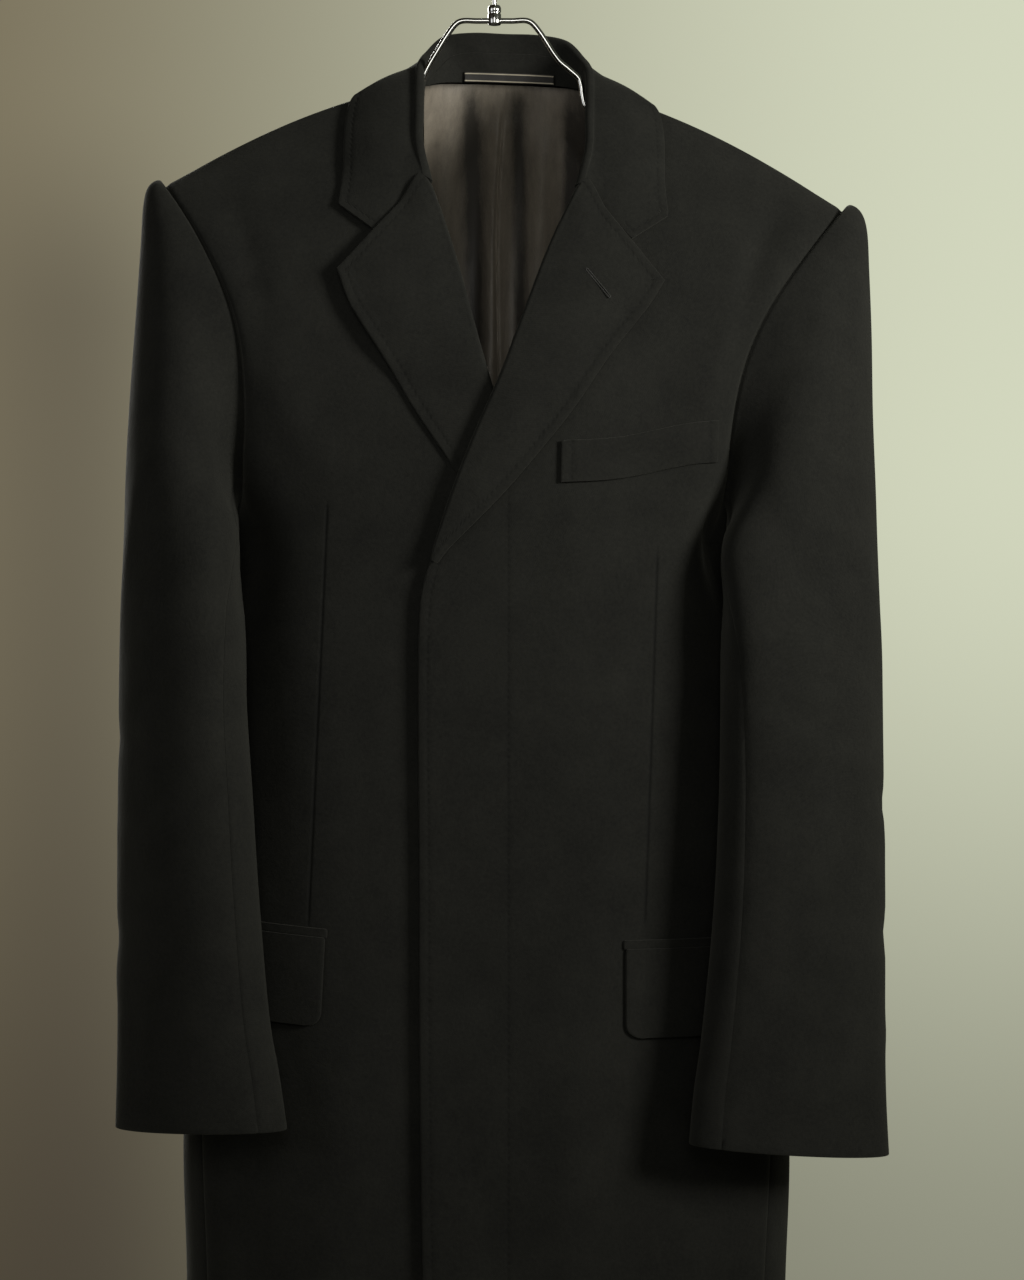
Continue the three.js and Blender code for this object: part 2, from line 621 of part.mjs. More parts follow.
// Back lining: hangs inside the back with its centre pleat and uneven soft folds.
function liningY(x, z) {
  const open = fade(-122, -190, z);
  const centre = mix(-1.5, -9.5, fade(-110, -330, z));
  const pleat = 5.5 * Math.exp(-Math.pow((x - centre) / 4.5, 2));
  const near = 3.2 * Math.exp(-Math.pow((x - centre - 17) / 7, 2));
  const far = 3.6 * Math.exp(-Math.pow((x - centre + 24) / 8, 2));
  const side = 3.0 * Math.exp(-Math.pow((x - centre - 41) / 8, 2));
  const top = along(NECK, 'nx', Math.abs(x), 'nz');
  const held = along(NECK, 'nx', Math.abs(x), 'ny') - 4.6 + 0.3 * (top - z) + 0.01 * (top - z) ** 2;
  const free = surfaceY(BACK_EDGE, 1, Math.abs(x), z) - LINING.clear;
  return Math.min(held, free) - open * (pleat + near + far + side);
}

function backLining() {
  const outer = [];
  const inner = [];
  for (let i = 0; i <= 9; i += 1) {
    const outerRow = [];
    const innerRow = [];
    for (let j = 0; j <= 24; j += 1) {
      const x = mix(-LINING.half, LINING.half, j / 24);
      const top = along(NECK, 'nx', Math.abs(x), 'nz') - 1.2;
      const z = mix(top, LINING.bottom, Math.pow(i / 9, 1.25));
      const y = liningY(x, z);
      outerRow.push(hang(vec(x, y, z), 1));
      innerRow.push(hang(vec(x, y + LINING.thick, z), 1));
    }
    outer.push(outerRow);
    inner.push(innerRow);
  }
  return slab(outer, inner);
}

add('lining_back', backLining(), satin);

// Breast welt on the wearer's left.
function breastWelt() {
  const rows = [0, 0.5, 1].map((t) => {
    const row = [];
    for (let i = 0; i <= 10; i += 1) {
      const s = i / 10;
      const sway = 1.6 * Math.sin(Math.PI * 2 * (s - 0.1));
      row.push({ x: mix(WELT.x0, WELT.x1, s), z: mix(WELT.z0, WELT.z1, s) - sway - t * WELT.drop });
    }
    return row;
  });
  frontPatch('breast_welt', rows, OVER_EDGE, 1, true, () => WELT.lift, WELT.thick, wool);
}

breastWelt();

// Way out of the body at an angle round it, level.
function outAt(angle, z) {
  const a = lower(angle - 0.01, z);
  const b = lower(angle + 0.01, z);
  return vec(-(b.y - a.y), b.x - a.x, 0).normalize().multiplyScalar(-1);
}

// A patch that goes round the side of the body, by its distance along from the inner end and its drop.
function sidePatch(name, side, inner0, table, lift, thick) {
  const over = side > 0;
  const start = inner0 / along(BODY, 'z', FLAP.z, 'half');
  const outer = [];
  const inner = [];
  for (const row of table) {
    const outerRow = [];
    const innerRow = [];
    for (const q of row) {
      const z = FLAP.z + FLAP.slant * q.run - q.drop;
      const p = lower(angleAt(start) + q.run / FLAP.turn, z);
      const way = outAt(angleAt(start) + q.run / FLAP.turn, z);
      const base = over ? vec(p.x, p.y - overlap(p.x, p.z), p.z) : p;
      outerRow.push(hang(moved(base, way, lift), side));
      innerRow.push(hang(moved(base, way, lift - thick), side));
    }
    outer.push(outerRow);
    inner.push(innerRow);
  }
  add(name, slab(outer, inner), wool);
}

function flapRows(length) {
  const rows = [];
  const drops = [FLAP.jet + 0.4, 26, 46, FLAP.drop - FLAP.corner, FLAP.drop - 2.6, FLAP.drop];
  for (const drop of drops) {
    const into = Math.max(0, drop - (FLAP.drop - FLAP.corner));
    const cut = FLAP.corner - Math.sqrt(Math.max(0, FLAP.corner ** 2 - into ** 2));
    const row = [];
    for (let i = 0; i <= 9; i += 1) {
      row.push({ run: mix(cut * 0.9, length - cut * 0.9, i / 9), drop });
    }
    rows.push(row);
  }
  return rows;
}

function jetRows(length) {
  return [0, FLAP.jet].map((drop) => {
    const row = [];
    for (let i = 0; i <= 9; i += 1) {
      row.push({ run: mix(-1, length + 1, i / 9), drop });
    }
    return row;
  });
}

sidePatch('flap_left', 1, FLAP.left, flapRows(FLAP.lengthL), 3.4, 2.5);
sidePatch('flap_right', -1, FLAP.right, flapRows(FLAP.lengthR), 3.4, 2.5);
sidePatch('jet_left', 1, FLAP.left, jetRows(FLAP.lengthL), 2.6, 1.9);
sidePatch('jet_right', -1, FLAP.right, jetRows(FLAP.lengthR), 2.6, 1.9);

// The hanger: one bent wire, a ferrule round the middle of its bar, and the hook over it.
function round(radius, sides) {
  const shape = new THREE.Shape();
  for (let i = 0; i < sides; i += 1) {
    const a = (i + 0.5) * 2 * Math.PI / sides;
    const x = radius * Math.cos(a) / Math.cos(Math.PI / sides);
    const y = radius * Math.sin(a) / Math.cos(Math.PI / sides);
    if (i === 0) {
      shape.moveTo(x, y);
    } else {
      shape.lineTo(x, y);
    }
  }
  shape.closePath();
  return shape;
}

function wire(points, radius, steps) {
  const path = new THREE.CatmullRomCurve3(points, false, 'centripetal');
  return new THREE.ExtrudeGeometry(round(radius, 8), { steps, extrudePath: path, bevelEnabled: false });
}

function underShoulder(x, side) {
  const p = upper(OVER_EDGE, -1, 1, x / armhole(0).x);
  return hang(vec(x, 0.7, p.z - 6.3), side);
}

const armStations = [188, 160, 132, 104, 84];
const hangerPath = [
  ...armStations.map((x) => underShoulder(x, -1)),
  vec(-66, 0.4, -137.5),
  vec(-58, 0.2, -137.8),
  vec(-50, 0, -136.2),
  vec(-45.6, 0, -130.5),
  vec(-44.8, 0, -121),
  vec(-44.2, 0, -112),
  vec(-41.4, 0, -103.5),
  vec(-30, 0, -83.5),
  vec(-24, 0, -78.3),
  vec(-12, 0, -78),
  vec(12, 0, -78),
  vec(24, 0, -78.2),
  vec(31, 0, -83.5),
  vec(47, 0, -105),
  vec(55.2, 0, -115),
  vec(58.8, 0, -122),
  vec(59.7, 0, -130.5),
  vec(63, 0.1, -139.2),
  vec(71, 0.3, -142.8),
  vec(80, 0.5, -142.3),
  ...armStations.map((x) => underShoulder(x, 1)).reverse(),
];
add('hanger_wire', wire(hangerPath, WIRE_R, 64), chrome);

const hookCentre = -HOOK_BORE;
const hookLine = HOOK_BORE + HOOK_R;
const hookPath = [vec(0, 0, -66.7), vec(0, 0, -54), vec(1, 0, -43), vec(6.5, 0, -36)];
for (const degrees of [-50, -25, 0, 25, 50, 75, 90, 105, 130, 155, 180, 200]) {
  const a = degrees * RAD;
  hookPath.push(vec(hookLine * Math.cos(a), 0, hookCentre + hookLine * Math.sin(a)));
}
add('hanger_hook', wire(hookPath, HOOK_R, 40), chrome);

const wasm = await Module();
wasm.setup();

function solid(geometry) {
  const bare = geometry.clone();
  bare.deleteAttribute('normal');
  bare.deleteAttribute('uv');
  const merged = mergeVertices(bare, 1e-4);
  return new wasm.Manifold(new wasm.Mesh({
    numProp: 3,
    vertProperties: new Float32Array(merged.attributes.position.array),
    triVerts: new Uint32Array(merged.index.array),
  }));
}

function ferrule() {
  const outline = [[0, -81], [3.9, -81], [4.6, -80.2], [4.6, -69], [3.6, -67], [0, -67]];
  const body = new THREE.LatheGeometry(outline.map(([r, z]) => new THREE.Vector2(r, z)), 20);
  body.rotateX(Math.PI / 2);
  const bore = new THREE.CylinderGeometry(WIRE_R + 0.45, WIRE_R + 0.45, 14, 12);
  bore.rotateZ(Math.PI / 2);
  bore.translate(0, 0, -78);
  const cut = solid(body).subtract(solid(bore)).getMesh();
  const geometry = new THREE.BufferGeometry();
  geometry.setAttribute('position', new THREE.Float32BufferAttribute(cut.vertProperties, 3));
  geometry.setIndex(new THREE.Uint32BufferAttribute(cut.triVerts, 1));
  geometry.computeVertexNormals();
  return geometry;
}

add('hanger_ferrule', ferrule(), chrome);

export default coat;
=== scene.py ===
"""Visual model of a chesterfield coat on a wire hanger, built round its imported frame.

Shapes are worked out in millimetres and turned into metres when a mesh is made.
The coat is first square and symmetrical, then set askew as it hangs (see hang).
"""

import logging
import math
from collections.abc import Callable, Sequence
from dataclasses import dataclass, field
from enum import Enum
from typing import Any

import bpy
import numpy as np
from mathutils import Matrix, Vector


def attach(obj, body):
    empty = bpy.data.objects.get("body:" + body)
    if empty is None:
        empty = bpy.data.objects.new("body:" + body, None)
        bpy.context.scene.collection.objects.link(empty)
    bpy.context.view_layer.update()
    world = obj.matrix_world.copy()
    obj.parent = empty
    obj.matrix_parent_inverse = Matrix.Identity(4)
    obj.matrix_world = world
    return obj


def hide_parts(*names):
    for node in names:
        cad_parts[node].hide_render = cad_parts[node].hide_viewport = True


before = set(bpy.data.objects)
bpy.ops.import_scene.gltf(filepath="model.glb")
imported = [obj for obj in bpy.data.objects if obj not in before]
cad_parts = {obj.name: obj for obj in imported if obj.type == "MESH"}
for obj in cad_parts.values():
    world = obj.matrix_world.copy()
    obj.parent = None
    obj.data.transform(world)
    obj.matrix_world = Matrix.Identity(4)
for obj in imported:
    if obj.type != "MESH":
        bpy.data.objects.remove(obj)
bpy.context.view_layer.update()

LOG = logging.getLogger("coat")

MM = 0.001  # metres in a millimetre
WALL = 2.2  # thickness of the coat's cloth
LEAF = 2.3  # thickness of the collar
SEAM = 0.15  # half the gap of a sewn seam
MIDDLE = 0.2  # half the gap of the centre-back seam
OVERLAP_LIFT = 6.0  # how far the over front lies out from the under one
SQUARE = 2.3  # power of the body's section, where 2 is a plain oval
TILT = 0.036  # slope of the coat as it hangs
CREST_R = 3.5  # radius of the collar's fold
LIFT = 4.6  # height of a turned lapel or leaf over the cloth under it
ARMPIT_Z = -440.0
ARMHOLE_X = 214.25  # middle of the armhole
ARMHOLE_Z = -321.0
ARMHOLE_LEAN = 22.25  # how far its top lies out from its middle, and its foot in
ARMHOLE_IN = 37.0  # how far it is drawn in at mid height
ARMHOLE_DEPTH = 64.0  # half its width from front to back
ARMHOLE_HEIGHT = 119.0  # half its height
HEM_Z = -1200.0
FINISHED = 0.9  # swell of a finished edge
CUT = 0.2  # swell of an edge that ends at a seam
DENT = 2.5  # half width of the dent along a seam
DEEPER = 1.8  # how much deeper than measured the creases are set, so that they read in soft light
FAR = 40.0  # a distance at which no stitch or dart shows

Array = np.ndarray
Colour = tuple[float, float, float]
Point = tuple[float, float, float]


class Slot(Enum):
    """Material slots."""

    WOOL = "wool"
    SATIN = "satin"
    RIBBON = "ribbon"
    CHROME = "chrome"


class Side(Enum):
    """The wearer's side. The left one is +X."""

    LEFT = 1
    RIGHT = -1


def mix(a: Any, b: Any, t: Any) -> Any:
    """Blend from a at t 0 to b at t 1."""
    return a + (b - a) * t


def fade(start: float, end: float, value: Any) -> Any:
    """Smooth step from 0 at start to 1 at end."""
    t = np.clip((np.asarray(value, float) - start) / (end - start), 0.0, 1.0)
    return t * t * (3.0 - 2.0 * t)


def bell(value: Any, width: float) -> Any:
    """Soft hump of height 1 and the given half width."""
    return np.exp(-((np.asarray(value, float) / width) ** 2))


def grid_of(x: Any, y: Any, z: Any) -> Array:
    """Points from three coordinates of matching shape."""
    return np.stack(np.broadcast_arrays(x, y, z), axis=-1).astype(float)


def unit(v: Array) -> Array:
    """Vectors scaled to length 1."""
    return v / np.maximum(np.linalg.norm(v, axis=-1, keepdims=True), 1e-9)


class Table:
    """Smooth curves through the columns of a table, read by its first column."""

    def __init__(self, names: str, rows: Sequence[Sequence[float]]) -> None:
        """Keep the rows and work out each column's slopes.

        Args:
            names: Column names, of which the first is the one to read by.
            rows: One tuple a row, in the order of the names.
        """
        data = np.array(rows, float)
        columns = dict(zip(names.split(), data.T))
        keys = data[:, 0]
        self.sign = 1.0 if keys[-1] > keys[0] else -1.0
        self.keys = keys * self.sign
        lo = np.maximum(np.arange(len(keys)) - 1, 0)
        hi = np.minimum(np.arange(len(keys)) + 1, len(keys) - 1)
        self.values = columns
        self.slopes = {
            name: (column[hi] - column[lo]) / (self.keys[hi] - self.keys[lo])
            for name, column in columns.items()
        }

    def at(self, value: Any, name: str) -> Any:
        """Read one column at a value of the first column.

        Args:
            value: Number or array of them.
            name: The column to read.

        Returns:
            The column's value there, of the same shape.
        """
        q = np.asarray(value, float) * self.sign
        i = np.minimum(np.searchsorted(self.keys[1:], q), len(self.keys) - 2)
        step = self.keys[i + 1] - self.keys[i]
        t = np.clip((q - self.keys[i]) / step, 0.0, 1.0)
        a, b = self.values[name][i], self.values[name][i + 1]
        m0, m1 = self.slopes[name][i] * step, self.slopes[name][i + 1] * step
        t2, t3 = t * t, t * t * t
        return (2 * t3 - 3 * t2 + 1) * a + (t3 - 2 * t2 + t) * m0 + (3 * t2 - 2 * t3) * b + (t3 - t2) * m1


BODY = Table("z half front back seam", [
    (-1200, 207, 95, 82, 66),
    (-1080, 207, 95, 82, 66),
    (-960, 208, 95, 81, 66),
    (-860, 211, 95, 80, 67),
    (-740, 205, 94, 79, 73),
    (-600, 198, 93, 78, 81),
    (-520, 195, 94, 79, 86),
    (-440, 192, 94, 80, 90),
])
OVER_EDGE = Table("v x z d", [
    (0, -38, -440, 94),
    (0.12, -27, -408, 94.5),
    (0.24, -13, -370, 93.5),
    (0.36, 2.3, -333, 91),
    (0.5, 17, -291, 83),
    (0.63, 31.5, -249, 72),
    (0.72, 43, -221, 60),
    (0.8, 55, -197, 47),
    (0.86, 60, -180, 34),
    (0.91, 64, -161, 21),
    (0.96, 67, -143, 9),
    (1, 68, -130, 0),
])
UNDER_EDGE = Table("v x z d", [
    (0, -28, -440, 94),
    (0.12, -17, -410, 94.5),
    (0.24, -5, -374, 93.5),
    (0.36, 9, -338, 91),
    (0.5, 22, -295, 83),
    (0.63, 34, -253, 72),
    (0.72, 43.5, -224, 60),
    (0.8, 55, -197, 47),
    (0.86, 60, -180, 34),
    (0.91, 64, -161, 21),
    (0.96, 67, -143, 9),
    (1, 68, -130, 0),
])
BACK_EDGE = Table("v x z d", [
    (0, 0.2, -440, 80),
    (0.25, 0.2, -345, 80),
    (0.5, 0.2, -240, 74),
    (0.65, 0.2, -170, 62),
    (0.78, 0.2, -115.5, 46),
    (0.84, 24, -116, 43),
    (0.89, 44, -118, 33),
    (0.95, 60, -123, 18),
    (1, 68, -130, 0),
])
FRONT_EDGE = Table("z over under", [
    (-1200, -38, -50),
    (-943, -41, -50),
    (-700, -47, -50),
    (-560, -51, -50),
    (-490, -51, -48),
    (-466, -46.5, -37),
    (-440, -38, -28),
])
SLEEVE = Table("ring outL outR outY outZ inL inR inY inZ depth dip", [
    (0, 236.5, 236.5, 0, -202, 192, 192, 0, -440, 64, 37),
    (1, 242.5, 241.5, 0, -198, 194, 194, -1, -443, 65, 33.8),
    (2, 250, 248.5, -2, -203.5, 195, 195, -4, -448, 66, 30),
    (3, 254, 251.5, -4, -217, 194.5, 195, -9, -455, 67, 25),
    (4, 255.5, 252.5, -7, -245, 191, 193.5, -18, -463, 68, 19),
    (5, 257.5, 254.5, -11, -290, 183, 189, -32, -474, 68, 13),
    (6, 259, 257, -16, -345, 172, 184, -50, -488, 67, 7),
    (7, 262, 259, -21, -405, 163, 178, -66, -505, 65, 2),
    (8, 265, 260, -25, -470, 158, 173, -76, -527, 61, 0),
    (9, 267, 260, -30, -540, 155, 169, -84, -562, 57, 0),
    (10, 269, 259, -36, -610, 153, 163, -90, -616, 52, 0),
    (11, 271, 257, -44, -690, 150, 156, -95, -690, 47, 0),
    (12, 272, 254, -52, -770, 144, 147, -100, -768, 40, 0),
    (13, 273, 253, -58, -814, 139, 139, -105, -808, 36, 0),
    (14, 275, 253, -62, -852, 136, 133, -109, -843, 33, 0),
])
# By row from the gorge to the nape: the fold's crest (x, y, z), the neck seam (x, y, z),
# the leaf's outer edge (x, z) and the length of the collar's inside leg.
NECK = [
    (54, -56, -190, 55, -47, -197, 112.5, -216.4, 6),
    (58, -47, -170, 60, -34, -180, 110.5, -191, 8),
    (59, -32, -147, 64, -21, -161, 109, -164, 10),
    (59.5, -16, -126, 67, -9, -143, 107, -146, 11),
    (59.5, 0, -111, 68, 0, -130, 104, -134, 11),
    (58, 10, -104, 65, 9, -126, 99.5, -136, 11),
    (55, 19, -98, 60, 18, -123, 92, -139, 11),
    (44, 34, -84.5, 44, 33, -118, 74, -143, 11),
    (24, 43, -79.5, 24, 43, -116, 42, -147, 11),
    (0, 46, -79, 0, 46, -115.5, 0, -148, 11),
]
NECK_SEAM = Table("x y z", [(row[3], row[4], row[5]) for row in reversed(NECK)])
SHOULDER = 4  # the row at the shoulder seam
NOTCH = (87.7, -234.0)  # inner corner of the notch, x and z
OVER_LAPEL = Table("row rx rz ex ez", [
    (0, 54, -195.5, 109.5, -263),
    (1, 43, -221, 100, -279),
    (2, 31.5, -249, 89, -294),
    (3, 17, -291, 71, -318.5),
    (4, 2.3, -333, 50, -351.5),
    (5, -11, -365, 29, -379.5),
    (6, -22.5, -394.7, 6, -408),
    (7, -33, -425, -15, -431),
    (8, -41, -447, -32, -449),
    (9, -44.5, -459, -41, -461),
])
UNDER_LAPEL = Table("row rx rz ex ez", [
    (0, 54, -195.5, 111.5, -263),
    (1, 43.5, -224, 103, -285),
    (2, 34, -253, 93, -301),
    (3, 22, -295, 77, -325),
    (4, 9, -338, 58, -356),
    (5, -4, -374, 39, -383),
    (6, -14, -402, 20, -409),
    (7, -22, -424, 0, -428),
    (8, -28, -440, -17, -441),
    (9, -32, -452, -29, -453),
])
# How far the hung coat lies aside of the hook.
DRIFT = Table("z x", [(-1200, -5.5), (-860, -5.5), (-600, 0), (-400, 3.5), (-200, 6.5), (-80, 7.5)])


def profile(u: Any) -> Any:
    """Depth of the body's rounded oblong section at a share u of its half width."""
    return np.maximum(0.0, 1.0 - np.abs(u) ** SQUARE) ** (1.0 / SQUARE)


def across_at(angle: Any) -> Any:
    """Share of the half width at an angle round the section."""
    s = np.sin(angle)
    return np.sign(s) * np.abs(s) ** (2.0 / SQUARE)


def angle_at(u: Any) -> Any:
    """Angle round the section at a share of the half width."""
    return np.sign(u) * np.arcsin(np.minimum(1.0, np.abs(u) ** (SQUARE / 2.0)))


def armhole(turn: Any) -> Array:
    """Point of the armhole, an oval drawn in towards the chest at mid height.

    Args:
        turn: Angle round it, 0 at the top and a quarter turn at the front.

    Returns:
        The point, in the square coat.
    """
    s, c = np.sin(turn), np.cos(turn)
    x = ARMHOLE_X + ARMHOLE_LEAN * c - ARMHOLE_IN * s * s
    return grid_of(x, -ARMHOLE_DEPTH * s, ARMHOLE_Z + ARMHOLE_HEIGHT * c)


def skirt_fold(angle: Any, z: Any) -> Any:
    """Soft upright folds that open towards the hem, fuller at the sides and back."""
    gate = fade(math.radians(55), math.radians(110), np.abs(angle))
    return fade(-540, -1150, z) * (0.8 * np.cos(4 * angle) + gate * 3.2 * np.cos(7 * angle + 0.5))


def lower(angle: Any, z: Any) -> Array:
    """Point of the body under the armpit; angle 0 is the middle of the front.

    Args:
        angle: Angle round the section.
        z: Height.

    Returns:
        The points, in the square coat.
    """
    angle, z = np.broadcast_arrays(np.asarray(angle, float), np.asarray(z, float))
    front = np.cos(angle) > 0
    depth = np.where(front, BODY.at(z, "front"), BODY.at(z, "back"))
    u = across_at(angle)
    push = skirt_fold(angle, z)
    x = u * (BODY.at(z, "half") + push * np.abs(u))
    return grid_of(x, np.where(front, -1.0, 1.0) * profile(u) * (depth + push), z)


def upper(edge: Table, facing: int, v: Any, u: Any) -> Array:
    """Point of a panel over the armpit.

    Args:
        edge: The panel's inner edge.
        facing: -1 for a front, 1 for a back.
        v: Rise from the armpit, 0, to the shoulder seam, 1.
        u: Way out from the middle, 0, to the armhole, 1.

    Returns:
        The points, in the square coat.
    """
    arm = armhole(np.pi * (1.0 - np.asarray(v, float)))
    ex = edge.at(v, "x")
    if facing > 0:
        ex = np.maximum(MIDDLE, ex)
    ez = edge.at(v, "z")
    x = u * arm[..., 0]
    w = (x - ex) / (arm[..., 0] - ex)
    bend = np.where(w > 0, np.maximum(w, 1e-9) ** (1.0 + 0.51 * v * v), w)
    beside = mix(np.abs(u) ** 10, 1.0 - profile(u), fade(0, 0.35, v))
    y = edge.at(v, "d") * profile(u) + np.abs(arm[..., 1]) * beside
    return grid_of(x, facing * y, ez + (arm[..., 2] - ez) * bend)


def surface_y(edge: Table, facing: int, x: Any, z: Any) -> Array:
    """Depth of a panel at places seen from the front or back.

    Args:
        edge: The panel's inner edge.
        facing: -1 for a front, 1 for a back.
        x: Distance out from the middle.
        z: Height.

    Returns:
        The depths, of the same shape.
    """
    x, z = np.broadcast_arrays(np.asarray(x, float), np.asarray(z, float))
    depth = BODY.at(z, "front" if facing < 0 else "back")
    below = facing * depth * profile(np.minimum(0.999, x / BODY.at(z, "half")))
    lo, hi = np.zeros_like(x), np.ones_like(x)
    for _ in range(30):
        v = (lo + hi) / 2
        u = np.minimum(0.999, x / armhole(np.pi * (1 - v))[..., 0])
        under = upper(edge, facing, v, u)[..., 2] < z
        lo, hi = np.where(under, v, lo), np.where(under, hi, v)
    u = np.minimum(0.999, x / armhole(np.pi * (1 - lo))[..., 0])
    return np.where(z <= ARMPIT_Z, below, upper(edge, facing, lo, u)[..., 1])


def overlap(x: Any, z: Any) -> Any:
    """How far the buttoned front lies out over the other one near the middle."""
    return OVERLAP_LIFT * (1.0 - fade(48, 112, x)) * (1.0 - fade(-325, -245, z))


# How far the front of each armhole is drawn in, at its most.
PITCH = Table("z left right", [
    (-720, 0, 0),
    (-640, 1.5, 0),
    (-570, 5, 1),
    (-525, 11, 4),
    (-494, 19, 8),
    (-475, 26, 12),
    (-452, 35, 15.5),
    (-435, 37, 14),
    (-422, 33, 9),
    (-406, 26.5, 4.5),
    (-390, 22, 1.4),
    (-345, 16, -0.8),
    (-300, 10.5, 0.5),
    (-250, 4.5, 0),
    (-205, 0, 0),
])
PITCH_X = 186.0  # where the drawing in is greatest


def drawn(x: Any, z: Any, side: Side) -> Any:
    """How far the front of one armhole is drawn in towards the chest at a place."""
    width = np.where(np.asarray(x) < PITCH_X, 35.0, 44.0)
    return PITCH.at(z, "left" if side is Side.LEFT else "right") * np.exp(-(((x - PITCH_X) / width) ** 2))


def pitch(p: Array, side: Side) -> Array:
    """Draw the front of the armhole, and the sleeve with it, in over the chest."""
    x, y, z = p[..., 0], p[..., 1], p[..., 2]
    return grid_of(x - drawn(x, z, side) * fade(-4, -46, y), y, z)


def inward(p: Array) -> Array:
    """The way into the cloth, shared by all body panels so that seams stay parted.

    Args:
        p: Points of the square coat.

    Returns:
        Vectors of length 1.
    """
    x, z = p[..., 0], p[..., 2]
    target = grid_of(x * 0.75, 0.0, z - 0.45 * np.maximum(0.0, z + 330.0))
    return unit(target - p)


def inward_at_armhole(p: Array) -> Array:
    """The way into the cloth along the armhole."""
    return unit(np.array([208.25, 0.0, ARMHOLE_Z]) - p)


def hang(p: Array, side: int) -> Array:
    """Set points of the square coat askew as it hangs.

    Args:
        p: Points of the square coat.
        side: 1 for the wearer's left side, -1 for the right.

    Returns:
        The hung points.
    """
    z = p[..., 2]
    x = side * p[..., 0] + DRIFT.at(z, "x")
    slope = TILT * mix(0.35, 1.0, fade(HEM_Z, -880, z))
    return grid_of(x, p[..., 1], z - slope * x)


@dataclass(frozen=True)
class Crease:
    """A soft ridge or trough: its middle, turn in degrees, half length, half width, height and bow."""

    x: float
    z: float
    turn: float
    reach: float
    width: float
    height: float
    bow: float = 0.0


def creased(creases: Sequence[Crease], x: Any, z: Any) -> Any:
    """Total height of a set of creases at places seen flat.

    Args:
        creases: The set.
        x: Places the one way.
        z: Places the other way.

    Returns:
        The heights, of the same shape.
    """
    total = np.zeros(np.broadcast(x, z).shape)
    for c in creases:
        a = math.radians(c.turn)
        dx, dz = x - c.x, z - c.z
        run = (dx * math.cos(a) + dz * math.sin(a)) / c.reach
        off = (dz * math.cos(a) - dx * math.sin(a)) + c.bow * run * run
        total = total + c.height * np.exp(-run * run) * np.exp(-((off / c.width) ** 2))
    return total


def lengths(points: Array, axis: int) -> Array:
    """Distance run along rows or columns of a grid, from its first point.

    Args:
        points: The grid.
        axis: 0 to run from row to row, 1 from column to column.

    Returns:
        The distance at each point.
    """
    steps = np.linalg.norm(np.diff(points, axis=axis), axis=-1)
    pad = [(0, 0), (0, 0)]
    pad[axis] = (1, 0)
    return np.cumsum(np.pad(steps, pad), axis=axis)


def refine(grid: Array, counts: tuple[int, int], straight_ends: int = 0) -> Array:
    """Smooth surface through a coarse grid, with many more points.

    Args:
        grid: The coarse points, rows by columns.
        counts: Points wanted along the rows' way and along the columns' way.
        straight_ends: Columns at the end that the first and last row join by straight lines.

    Returns:
        The fine grid.
    """
    cols = np.linspace(0, grid.shape[1] - 1, counts[1])
    wide = spline(grid.transpose(1, 0, 2), cols).transpose(1, 0, 2)
    if straight_ends:
        low = np.minimum(cols.astype(int), grid.shape[1] - 2)
        t = (cols - low)[:, None]
        first = grid.shape[1] - 1 - straight_ends
        keep = fade(first, first + 0.5, cols)[:, None]
        for k in (0, -1):
            plain = mix(grid[k][low], grid[k][low + 1], t)
            wide[k] = mix(wide[k], plain, keep)
    return spline(wide, np.linspace(0, grid.shape[0] - 1, counts[0]))


def spline(rows: Array, places: Array) -> Array:
    """Curve through rows of points, at fractional row numbers.

    Args:
        rows: Points to go through, one row for each step.
        places: Row numbers wanted.

    Returns:
        The points there.
    """
    last = len(rows) - 1
    low = np.minimum(places.astype(int), last - 1)
    t = (places - low).reshape(-1, *([1] * (rows.ndim - 1)))
    before, a, b, after = (rows[np.clip(low + k, 0, last)] for k in (-1, 0, 1, 2))
    m0 = np.where((low > 0).reshape(t.shape), (b - before) / 2, b - a)
    m1 = np.where((low < last - 1).reshape(t.shape), (after - a) / 2, b - a)
    t2, t3 = t * t, t * t * t
    return (2 * t3 - 3 * t2 + 1) * a + (t3 - 2 * t2 + t) * m0 + (3 * t2 - 2 * t3) * b + (t3 - t2) * m1


def make_object(
    name: str, points: Array, faces: Sequence[Sequence[int]], sharp: float = 52.0
) -> bpy.types.Object:
    """Mesh object from points in millimetres, facing out.

    Args:
        name: The piece's name.
        points: All its points.
        faces: Point numbers of each face.
        sharp: Edges that turn by more than this many degrees stay crisp.

    Returns:
        The object, linked to the scene.
    """
    at = points * MM
    quads = np.array([(*f, f[-1])[:4] for f in faces])
    a, b, c, d = (at[quads[:, k]] for k in range(4))
    size = np.einsum("ij,ij->i", a, np.cross(b, c)).sum() + np.einsum("ij,ij->i", a, np.cross(c, d)).sum()
    if size < 0:
        faces = [tuple(reversed(f)) for f in faces]
    mesh = bpy.data.meshes.new(name)
    mesh.from_pydata(at.tolist(), [], [tuple(int(i) for i in f) for f in faces])
    mesh.shade_smooth()
    mesh.set_sharp_from_angle(angle=math.radians(sharp))
    mesh.update()
    piece = bpy.data.objects.new(name, mesh)
    bpy.context.scene.collection.objects.link(piece)
    return piece


